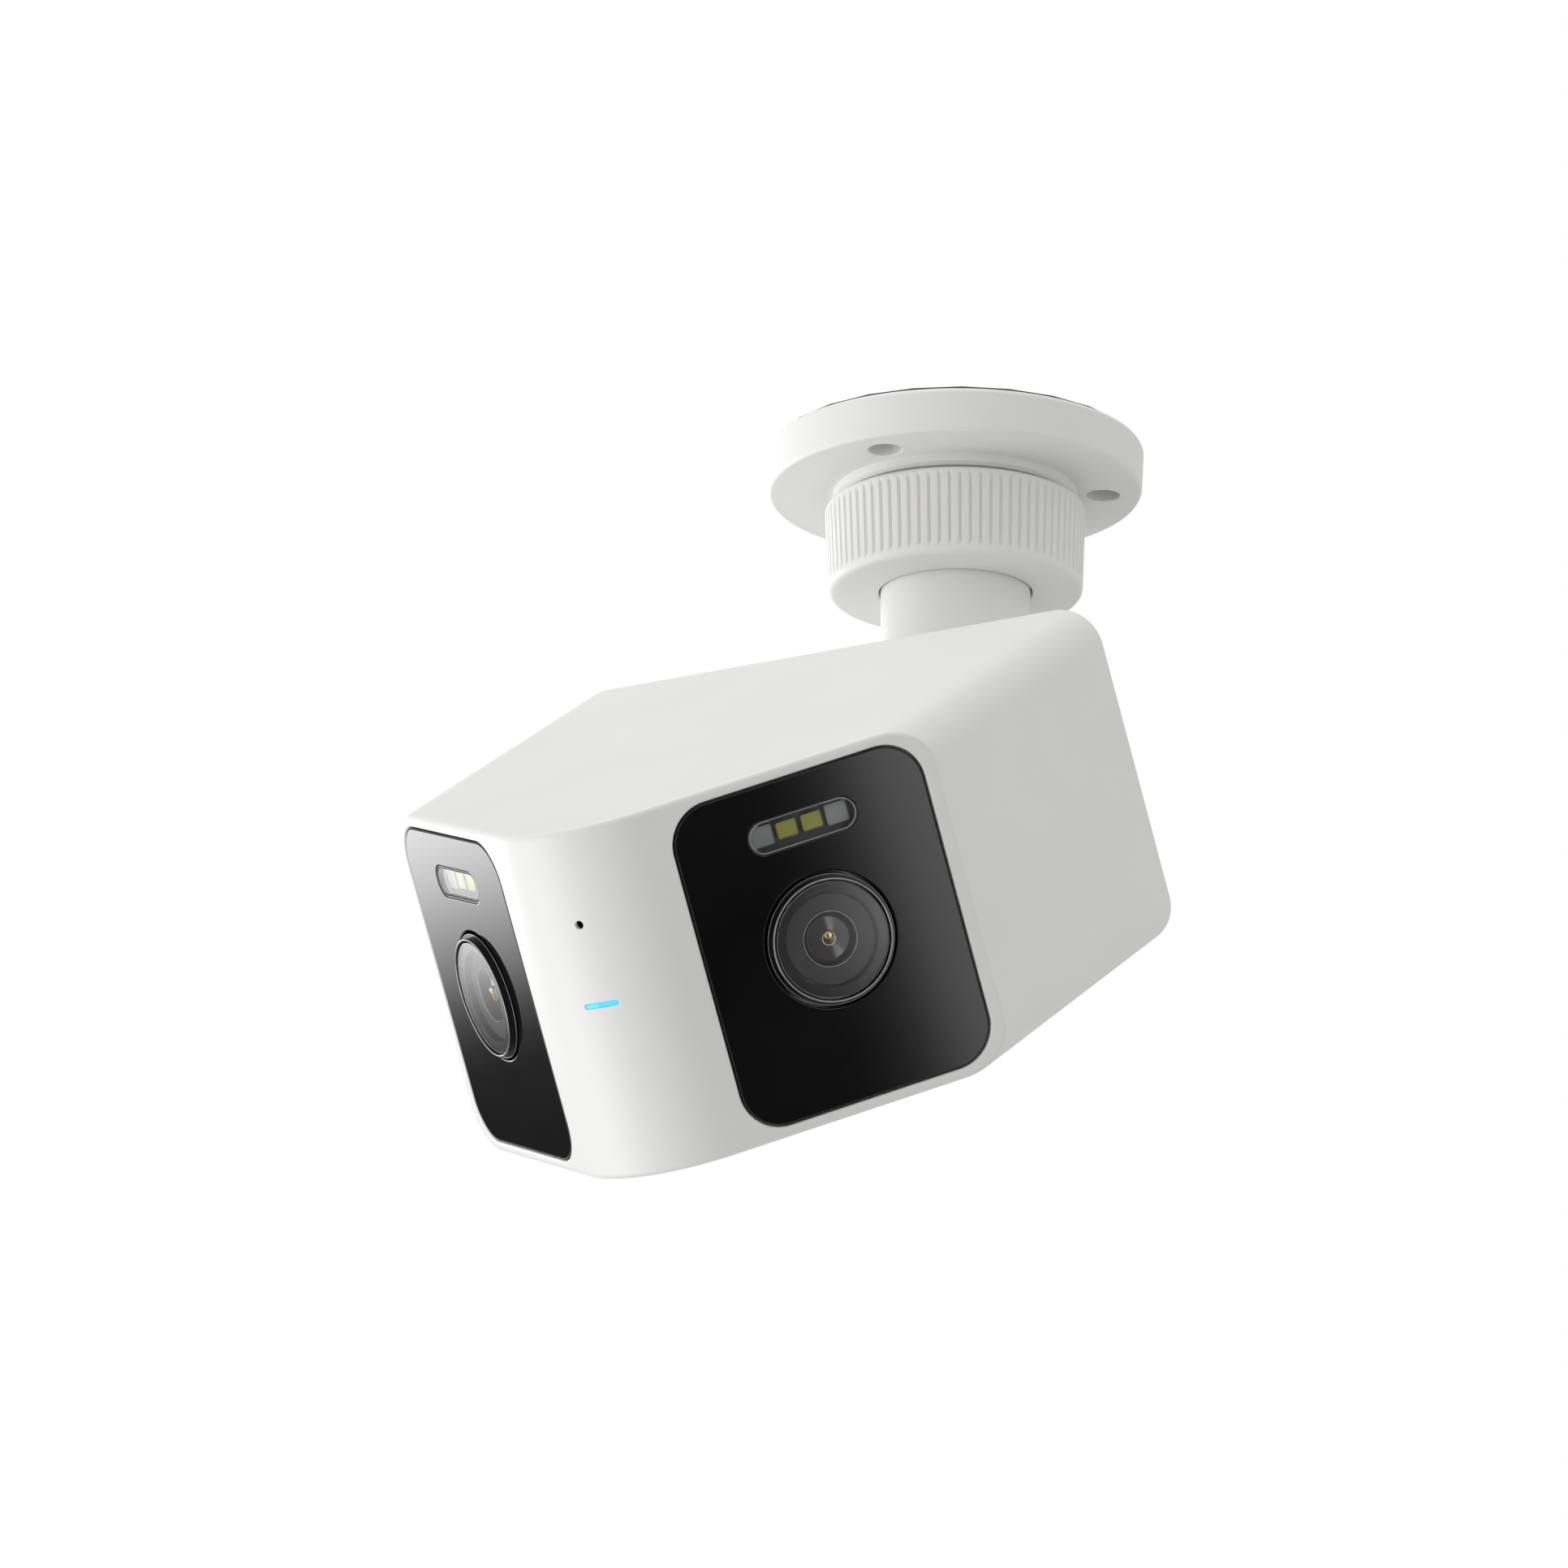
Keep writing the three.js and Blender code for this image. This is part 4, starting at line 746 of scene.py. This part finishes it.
    # Rows of points between the two ends, clear of the hole and the slot, keep the nose's triangles short.
    row_heights = [-24, -20, -16, -12, -8, -5, -3, -1.6, 1.6, 3, 5, 8, 10.5, 12, 14.8, 16.5, 20, 24]
    inside = [(s, z) for s in arc[1:-1] for z in row_heights]
    mouth = 0.12
    grown = [[(x + nx * mouth, y + ny * mouth) for x, y, nx, ny in cut] for cut in (mic, slot)]
    inside = [p for p in inside if not any(within(p, g) for g in grown)]
    skin.fill([strip] + grown, on_nose, nose_normal, inside)
    for cut, depth in ((mic, MIC_DEPTH), (slot, FRONT_WALL)):
        wall = hole(cut)
        track = []
        for k in range(5):
            a = math.pi / 2 * k / 4
            out = mouth * (1 - math.sin(a))
            deep = mouth * (1 - math.cos(a))
            points = [on_nose((x - nx * out, y - ny * out), deep) for x, y, nx, ny in wall]
            normals = []
            for x, y, nx, ny in wall:
                n = Vector(nose_normal((x, y)))
                side = Vector((nx * math.cos(x / NOSE_RADIUS), nx * math.sin(x / NOSE_RADIUS), ny))
                normals.append(n * math.cos(a) + side * math.sin(a))
            track.append(skin.row(points, normals))
        track.append(skin.row([on_nose(p, depth) for p in wall], [skin.normals[i] for i in track[-1]]))
        for first, second in zip(track, track[1:]):
            skin.bridge(first, second)

    # The two slanted faces with their window openings.
    ca, sa = math.cos(FACE_ANGLE), math.sin(FACE_ANGLE)
    opening = rounded(
        PANEL_WIDTH + 2 * POCKET_GAP, PANEL_HEIGHT + 2 * POCKET_GAP, PANEL_CORNER + POCKET_GAP, 18)
    window = rounded(PANEL_WIDTH - 2 * LEDGE_SIDE, PANEL_HEIGHT - 2 * LEDGE_END, PANEL_CORNER - 1.5, 12)
    mouth = 0.42
    for side in (1, -1):
        def lift(v, depth=0.0):
            return (side * (v[0] * ca - depth * sa), APEX + v[0] * sa + depth * ca, v[1])

        def from_middle(loop, depth):
            return [lift((p[0] + PANEL_MIDDLE, p[1]), depth) for p in loop]

        def across(loop):
            return [Vector((side * nx * ca, nx * sa, ny)) for _, _, nx, ny in loop]

        normal = Vector((side * sa, -ca, 0))
        ring = [i for i in range(count) if side * centres[i].x > inner_r * sa - 1e-6]
        flat = []
        for i in ring:
            x, _, z = skin.points[rows[-1][i]]
            flat.append((side * x / ca, z))
        cx = sum(p[0] for p in flat) / len(flat)
        flat.sort(key=lambda p: math.atan2(p[1], p[0] - cx))
        outer = [(x + nx * mouth + PANEL_MIDDLE, y + ny * mouth) for x, y, nx, ny in opening]
        skin.fill([flat, outer], lift, lambda v: normal)
        wall = hole(opening)
        track = []
        for k in range(7):
            a = math.pi / 2 * k / 6
            out = mouth * (1 - math.sin(a))
            deep = mouth * (1 - math.cos(a))
            track.append(skin.row(
                from_middle([(x - nx * out, y - ny * out) for x, y, nx, ny in wall], deep),
                [normal * math.cos(a) + n * math.sin(a) for n in across(wall)],
            ))
        track.append(skin.row(from_middle(wall, POCKET_DEPTH), across(wall)))
        for first, second in zip(track, track[1:]):
            skin.bridge(first, second)
        skin.fill([[(p[0] + PANEL_MIDDLE, p[1]) for p in loop] for loop in (opening, window)],
                  lambda v: lift(v, POCKET_DEPTH), lambda v: normal)
        inner_wall = hole(window)
        skin.bridge(
            skin.row(from_middle(inner_wall, POCKET_DEPTH), across(inner_wall)),
            skin.row(from_middle(inner_wall, FRONT_WALL), across(inner_wall)),
        )
    return skin


housing_skin().build("housing_skin", HEAD, "head", WHITE, ("housing",), "housing")


# ---- window modules ----
def band(outer, inner, low, high, rounding):
    """The profile of a thin ring with a rounded top."""
    return [(outer, low), (outer, high, rounding), (inner, high, rounding), (inner, low)]


def shrunk(size, by):
    """A (width, height, corner) made smaller by the same amount all round."""
    width, height, corner = size
    return width - 2 * by, height - 2 * by, corner - by


def led(m, node, kind, size, x, body_look, face_look):
    """A square package with a narrow rim, and its emitting face sunk inside it."""
    rim, sink, overlap = 0.16, 0.07, 0.01
    wide, tall = size
    outside = rounded(wide, tall, 0.4, 4, x, LED_HEIGHT)
    inside = rounded(wide - 2 * rim, tall - 2 * rim, 0.3, 5, x, LED_HEIGHT)
    slab([outside, hole(inside)], LED_BACK, LED_FRONT, 0.06, 0.0, 3).build(
        f"{node}_body", m, "head", body_look, (node,), kind)
    face_rim = rim - overlap
    face = rounded(wide - 2 * face_rim, tall - 2 * face_rim, 0.3, 5, x, LED_HEIGHT)
    slab([face], LED_BACK + 0.1, LED_FRONT - sink, 0.08, 0.0, 3).build(
        f"{node}_face", m, "head", face_look, (), kind)


def window_module(side):
    """One black panel with its LED window, four LEDs, lens trim, cover glass, barrel and front lens."""
    label = "right" if side > 0 else "left"
    m = face_matrix(side)
    lens_x, lens_y = -side * LENS_OFFSET, -LENS_OFFSET
    lens_m = m @ Matrix.Translation((lens_x * MM, lens_y * MM, 0))

    slab([rounded(PANEL_WIDTH, PANEL_HEIGHT, PANEL_CORNER, 24), hole(rounded(*LED_SLOT, 16, 0, LED_HEIGHT)),
          hole(circle(LENS_OPENING, 96, lens_x, lens_y))], PANEL_BACK, PANEL_FACE, 0.28).build(
        f"window_panel_{label}_skin", m, "head", PANEL, (f"window_panel_{label}",), f"window_panel_{label}")

    # A thin grey ring round the clear LED window: painted highlight along its edge.
    edge, highlight_width = shrunk(LED_SLOT, 0.02), 0.16
    slab([rounded(*edge, 16, 0, LED_HEIGHT), hole(rounded(*shrunk(edge, highlight_width), 16, 0, LED_HEIGHT))],
         -1.0, -0.24, 0.06).build(f"led_window_{label}_edge", m, "head", LED_RIM_HIGHLIGHT, (), "led_window")
    slab([rounded(*LED_WINDOW, 16, 0, LED_HEIGHT)], -1.4, -0.3, 0.3).build(
        f"led_window_{label}_skin", m, "head", LED_CLEAR, (f"led_window_{label}",), "led_window")

    for index in range(4):
        x = (index - 1.5) * LED_PITCH
        letter = "a" if index < 2 else "b"
        if index in (1, 2):
            led(m, f"led_white_{label}_{letter}", "led_white", WHITE_LED, x, LED_BODY, PHOSPHOR)
        else:
            led(m, f"led_infrared_{label}_{letter}", "led_infrared", INFRARED_LED, x, INFRARED, INFRARED)

    turned([
        (TRIM_FOOT, TRIM_BACK), (TRIM_FOOT, 0.05, 0.1), (TRIM_RADIUS, 0.05), (TRIM_RADIUS, TRIM_TOP),
        (TRIM_LIP, TRIM_TOP), (TRIM_LIP, 0.1), (TRIM_BORE, 0.1, 0.05), (TRIM_BORE, TRIM_BACK),
    ], 120, closed=True).build(
        f"lens_trim_{label}_skin", lens_m, "head", TRIM, (f"lens_trim_{label}",), "lens_trim")
    # Thin rings of a lighter, glossier metal than the black trim and the grey barrel, as painted highlights on
    # their real edges: on the trim, at its foot, and round the barrel's mouth.
    trim_rim_highlight = band(TRIM_RADIUS - 0.02, TRIM_LIP + 0.02, TRIM_TOP - 0.05, TRIM_TOP + 0.15, 0.15)
    turned(trim_rim_highlight, 120, closed=True).build(
        f"lens_trim_{label}_rim", lens_m, "head", RIM_HIGHLIGHT, (), "lens_trim")
    trim_seat_highlight = band(TRIM_FOOT - 0.02, TRIM_FOOT - 0.14, 0.0, 0.1, 0.05)
    turned(trim_seat_highlight, 120, closed=True).build(
        f"lens_trim_{label}_seat", lens_m, "head", RIM_HIGHLIGHT, (), "lens_trim")
    barrel_lip_highlight = band(BARREL_BORE + 0.22, BARREL_BORE - 0.06, BARREL_FRONT - 0.1, BARREL_FRONT + 0.16, 0.13)
    turned(barrel_lip_highlight, 96, closed=True).build(
        f"lens_barrel_{label}_lip", lens_m, "head", RIM_HIGHLIGHT, (), "lens_barrel")
    slab([circle(GLASS_RADIUS, 120)], GLASS_BACK, GLASS_FRONT, 0.12, 0.05).build(
        f"lens_glass_{label}_skin", lens_m, "head", LENS_CLEAR, (f"lens_glass_{label}",), "lens_glass")
    turned([
        (BARREL_RADIUS, BARREL_BACK), (BARREL_RADIUS, BARREL_SHOULDER), (BARREL_FLANGE, BARREL_SHOULDER),
        (BARREL_FLANGE, BARREL_FRONT, 0.1), (BARREL_BORE, BARREL_FRONT, 0.12), (BARREL_BORE, BARREL_FLOOR),
        (BARREL_END_BORE, BARREL_FLOOR), (BARREL_END_BORE, BARREL_BACK),
    ], 96, closed=True).build(
        f"lens_barrel_{label}_skin", lens_m, "head", BARREL, (f"lens_barrel_{label}",), "lens_barrel")
    # The front lens: a shallow dome. The small dome and the ring in its middle are in bright gold metal, as
    # painted glints of the lens.
    turned([
        (ELEMENT_RADIUS, ELEMENT_BACK), (ELEMENT_RADIUS, -2.3, 0.15), (3.5, -1.95, 0.6), (1.9, -1.75, 0.8),
        (1.0, -1.65, 0.3), (0.0, -1.6),
    ], 72).build(
        f"lens_element_{label}_skin", lens_m, "head", ELEMENT_PAINTED_SHEEN, (f"lens_element_{label}",), "lens_element")
    tip_above = 0.6
    turned([(0.8, -1.75), (0.78, -1.25, 0.3), (0.5, -0.96, 0.35), (0.0, -0.92)], 48, 0, tip_above).build(
        f"lens_element_{label}_tip", lens_m, "head", GOLD_GLINT, (), "lens_element")
    turned(band(1.2, 0.95, -1.85, -1.5, 0.1), 48).build(
        f"lens_element_{label}_ring", lens_m, "head", GOLD_GLINT, (), "lens_element")


window_module(1)
window_module(-1)


# ---- status light ----
def status_skin():
    skin = Skin()
    loop = rounded(*STATUS_LIGHT, 5, 0, 0, spacing=0.4)
    outward = [(p[2], 0, p[3]) for p in loop]
    skin.fill([[p[:2] for p in loop]], lambda v: on_nose(v, STATUS_SUNK), nose_normal,
              [(x * 0.5, 0.0) for x in range(-5, 6)])
    skin.bridge(
        skin.row([on_nose(p, STATUS_SUNK) for p in loop], outward),
        skin.row([on_nose(p, STATUS_SUNK + STATUS_DEPTH) for p in loop], outward),
    )
    return skin


status_skin().build("status_light_pipe_skin", HEAD, "head", STATUS, ("status_light_pipe",), "status_light")


# ---- base plate, ring and post ----
def mount_plate_skin():
    skin = turned([
        (0, SOCKET_ROOF), (NECK_BORE, SOCKET_ROOF), (NECK_BORE, NECK_END, 0.3), (NECK_RADIUS, NECK_END, 0.4),
        (NECK_RADIUS, COLLAR_END), (COLLAR_RADIUS - COLLAR_CHAMFER, COLLAR_END, 0.1),
        (COLLAR_RADIUS, COLLAR_END + COLLAR_CHAMFER, 0.1), (COLLAR_RADIUS, PLATE_UNDER),
    ], 128)
    # The rim leans outward to its widest point, just under the top.
    turned([
        (PLATE_FLAT, PLATE_UNDER), (31.62, PLATE_UNDER, 0.6), (32.0, -7.6, 0.6), (32.34, -1.3, 0.4),
        (32.0, PLATE_TOP, 0.3), (0, PLATE_TOP),
    ], 160, skin=skin)
    places = []
    for k in range(3):
        a = -math.pi / 2 + k * 2 * math.pi / 3
        places.append((SCREW_CIRCLE * math.cos(a), SCREW_CIRCLE * math.sin(a)))
    outlines = [circle(PLATE_FLAT, 160), circle(COLLAR_RADIUS, 128)]
    outlines += [circle(SCREW_HEAD + SCREW_MOUTH, 48, x, y) for x, y in places]
    skin.fill([[p[:2] for p in outline] for outline in outlines],
              lambda v: (v[0], v[1], PLATE_UNDER), lambda v: (0, 0, -1))
    for x, y in places:
        turned([
            (SCREW_HOLE, PLATE_TOP), (SCREW_HOLE, SCREW_SEAT, 0.1), (SCREW_HEAD, SCREW_SEAT),
            (SCREW_HEAD, PLATE_UNDER, 0.24), (SCREW_HEAD + SCREW_MOUTH, PLATE_UNDER),
        ], 48, x, y, skin)
    return skin


mount_plate_skin().build("mount_plate_skin", WORLD, "base", MOUNT_WHITE, ("mount_plate",), "mount_plate")


def ring_skin():
    """The locking ring. The third value of a profile point is how deep the upright grooves cut there."""
    skin = Skin()
    per_groove = 10
    profile = [
        (19.4, -10.9, 0), (21.3, -10.9, 0), (21.75, -10.98, 0), (22.1, -11.2, 0), (22.25, -11.5, 0),
        (22.28, -11.8, 0), (22.27, -12.3, 0.7), (22.25, -13.0, 1), (22.0, -18.4, 1), (21.8, -23.6, 1),
        (21.78, -24.3, 0.7), (21.76, -24.8, 0), (21.74, -25.2, 0), (21.6, -25.75, 0), (21.3, -26.1, 0),
        (20.9, -26.28, 0), (20.4, -26.3, 0), (13.5, -26.3, 0), (13.2, -26.2, 0), (13.1, -26.0, 0),
        (13.1, -24.0, 0),
    ]
    columns = GROOVES * per_groove
    rows = []
    for radius, z, cut in profile:
        row = []
        for k in range(columns):
            a = 2 * math.pi * k / columns
            phase = (k % per_groove) / per_groove
            away = min(phase, 1 - phase)
            groove = max(0.0, 1 - (away / GROOVE_HALF_WIDTH) ** 2)
            r = radius - GROOVE_DEPTH * cut * groove
            row.append(skin.add((r * math.cos(a), r * math.sin(a), z), (0, 0, 1)))
        rows.append(row)
    for first, second in zip(rows, rows[1:]):
        skin.bridge(second, first)
    mesh = bpy.data.meshes.new("locking_ring_skin")
    mesh.from_pydata([Vector(p) * MM for p in skin.points], [], skin.faces)
    for polygon in mesh.polygons:
        polygon.use_smooth = True
    mesh.set_sharp_from_angle(angle=math.radians(50))
    place(mesh, "locking_ring_skin", "ring", MOUNT_WHITE, ("locking_ring",))


ring_skin()
for node, body, look, bevel, slot in (
    ("post", "swivel", MOUNT_WHITE, 0.45, "post"),
    ("mount_pad", "base", FOAM, 0.0, "mount_pad"),
    ("swivel_washer", "base", RUBBER, 0.15, "washer"),
    ("tilt_washer_right", "swivel", RUBBER, 0.1, "washer"),
    ("tilt_washer_left", "swivel", RUBBER, 0.1, "washer"),
    ("tilt_bolt", "swivel", STEEL, 0.25, "steel"),
    ("tilt_nut", "swivel", STEEL, 0.25, "steel"),
    ("rear_cover", "head", WHITE, 0.5, "rear_cover"),
    ("rear_gasket", "head", RUBBER, 0.15, "rubber"),
    ("cable_gland", "head", RUBBER, 0.4, "rubber"),
    ("cover_screw_1", "head", STEEL, 0.2, "steel"),
    ("cover_screw_2", "head", STEEL, 0.2, "steel"),
    ("cover_screw_3", "head", STEEL, 0.2, "steel"),
    ("cover_screw_4", "head", STEEL, 0.2, "steel"),
    ("service_door", "door", WHITE, 0.25, "service_door"),
    ("reset_button", "reset", RUBBER, 0.2, "rubber"),
):
    refined(node, body, look, bevel)

# Inner pieces keep their CAD meshes. A name's beginning says what the piece is made of.
inner_looks = {
    "sensor_board": BOARD, "nose_board": BOARD, "main_board": BOARD, "service_board": BOARD,
    "camera_bracket": ALUMINIUM, "chassis": ALUMINIUM, "shield_can": CAN, "microphone": CAN, "speaker": BARREL,
    "lens_holder": BARREL, "infrared_filter": FILTER, "led_board": LED_BOARD,
}
for name, node in frame["nodes"].items():
    for start, look in inner_looks.items():
        if name.startswith(start):
            node.data.materials.clear()
            node.data.materials.append(look)


# ---- studio, in metres ----
FLOOR_RADIUS = 8.0
FLOOR_Z = -2.8
LIGHT_SIZE = 0.9
CARD_AWAY = 0.3


def card(name, centre, towards, rise, width, height, stops):
    """A light card seen only in reflections: its strength follows the stops along its height."""
    mesh = bpy.data.meshes.new(name)
    w, h = width / 2, height / 2
    mesh.from_pydata([(-w, -h, 0), (w, -h, 0), (w, h, 0), (-w, h, 0)], [], [(0, 1, 2, 3)])
    obj = bpy.data.objects.new(name, mesh)
    bpy.context.scene.collection.objects.link(obj)
    facing = towards.normalized()
    tall = (rise - facing * rise.dot(facing)).normalized()
    turn = Matrix((tall.cross(facing), tall, facing)).transposed().to_4x4()
    obj.matrix_world = Matrix.Translation(centre) @ turn
    look = bpy.data.materials.new(name)
    look.use_nodes = True
    nodes, links = look.node_tree.nodes, look.node_tree.links
    nodes.clear()
    coords = nodes.new("ShaderNodeTexCoord")
    split = nodes.new("ShaderNodeSeparateXYZ")
    links.new(coords.outputs["Object"], split.inputs["Vector"])
    place_on = nodes.new("ShaderNodeMapRange")
    place_on.inputs["From Min"].default_value = -h
    place_on.inputs["From Max"].default_value = h
    links.new(split.outputs["Y"], place_on.inputs["Value"])
    top = max(value for _, value in stops)
    fade = ramp(nodes, links, place_on.outputs["Result"], [(at, (v / top,) * 3) for at, v in stops])
    fade.color_ramp.interpolation = "B_SPLINE"
    glow = nodes.new("ShaderNodeEmission")
    glow.inputs["Strength"].default_value = top
    links.new(fade.outputs["Color"], glow.inputs["Color"])
    out = nodes.new("ShaderNodeOutputMaterial")
    links.new(glow.outputs["Emission"], out.inputs["Surface"])
    mesh.materials.append(look)
    obj.visible_camera = False


def area(name, location, target, size, power):
    data = bpy.data.lights.new(name, "AREA")
    data.energy = power
    data.shape = "SQUARE"
    data.size = size
    obj = bpy.data.objects.new(name, data)
    bpy.context.scene.collection.objects.link(obj)
    towards = (Vector(target) - Vector(location)).normalized()
    obj.matrix_world = Matrix.Translation(location) @ (-towards).to_track_quat("Z", "Y").to_matrix().to_4x4()


def floor():
    mesh = bpy.data.meshes.new("floor")
    ring = [(x, y, FLOOR_Z) for x, y, _, _ in circle(FLOOR_RADIUS, 48)]
    mesh.from_pydata(ring, [], [tuple(range(len(ring)))])
    obj = bpy.data.objects.new("floor", mesh)
    bpy.context.scene.collection.objects.link(obj)
    look, nodes, links, shader = material("floor_pale")
    texture = noise(nodes, links, 3.0)
    tone = ramp(nodes, links, texture.outputs["Fac"], [(0.3, (0.80, 0.80, 0.80)), (0.7, (0.84, 0.84, 0.84))])
    links.new(tone.outputs["Color"], shader.inputs["Base Color"])
    shader.inputs["Roughness"].default_value = 0.8
    mesh.materials.append(look)


floor()
bpy.context.scene.view_settings.view_transform = "Standard"

# The world looks white to the camera, and lights the object with a slightly warm grey.
world = bpy.data.worlds.new("studio")
bpy.context.scene.world = world
world.use_nodes = True
wn, wl = world.node_tree.nodes, world.node_tree.links
wn.clear()
seen = wn.new("ShaderNodeBackground")
seen.inputs["Color"].default_value = (1, 1, 1, 1)
seen.inputs["Strength"].default_value = 1.0
ambient = wn.new("ShaderNodeBackground")
ambient.inputs["Color"].default_value = (1.0, 0.993, 0.968, 1)
ambient.inputs["Strength"].default_value = 0.71
path = wn.new("ShaderNodeLightPath")
mix = wn.new("ShaderNodeMixShader")
out = wn.new("ShaderNodeOutputWorld")
wl.new(path.outputs["Is Camera Ray"], mix.inputs["Fac"])
wl.new(ambient.outputs["Background"], mix.inputs[1])
wl.new(seen.outputs["Background"], mix.inputs[2])
wl.new(mix.outputs["Shader"], out.inputs["Surface"])

# One light card for each black window, set where the window mirrors it to the camera.
card_fades = {
    1: [(0.0, 0.05), (0.48, 0.06), (0.53, 0.3), (0.565, 2.1), (0.62, 2.4), (0.68, 0.7), (1.0, 0.5)],
    -1: [(0.0, 0.02), (0.42, 0.04), (0.52, 0.3), (0.66, 4.2), (1.0, 5.0)],
}
for side, stops in card_fades.items():
    window = face_matrix(side)
    outward, rise, across = (window.to_3x3().col[i].normalized() for i in (2, 1, 0))
    look_in = (window.translation - place_camera.translation).normalized()
    bounce = look_in - 2 * look_in.dot(outward) * outward
    centre = window.translation + bounce * CARD_AWAY
    if side > 0:
        card("window_card_right", centre, -bounce, across + rise * 0.02, 0.34, 0.30, stops)
    else:
        card("window_card_left", centre, -bounce, rise, 0.30, 0.20, stops)

aim = (0.0, -0.06, -0.09)
for name, location, power in (
    ("front_left", (-1.0, -1.3, -0.15), 4.3),
    ("low_left", (-1.0, -0.6, -0.85), 7.0),
    ("top", (-0.2, -0.2, 1.3), 5.9),
    ("rim_left", (-1.1, 0.9, 0.3), 2.2),
):
    area(name, location, aim, LIGHT_SIZE, power)
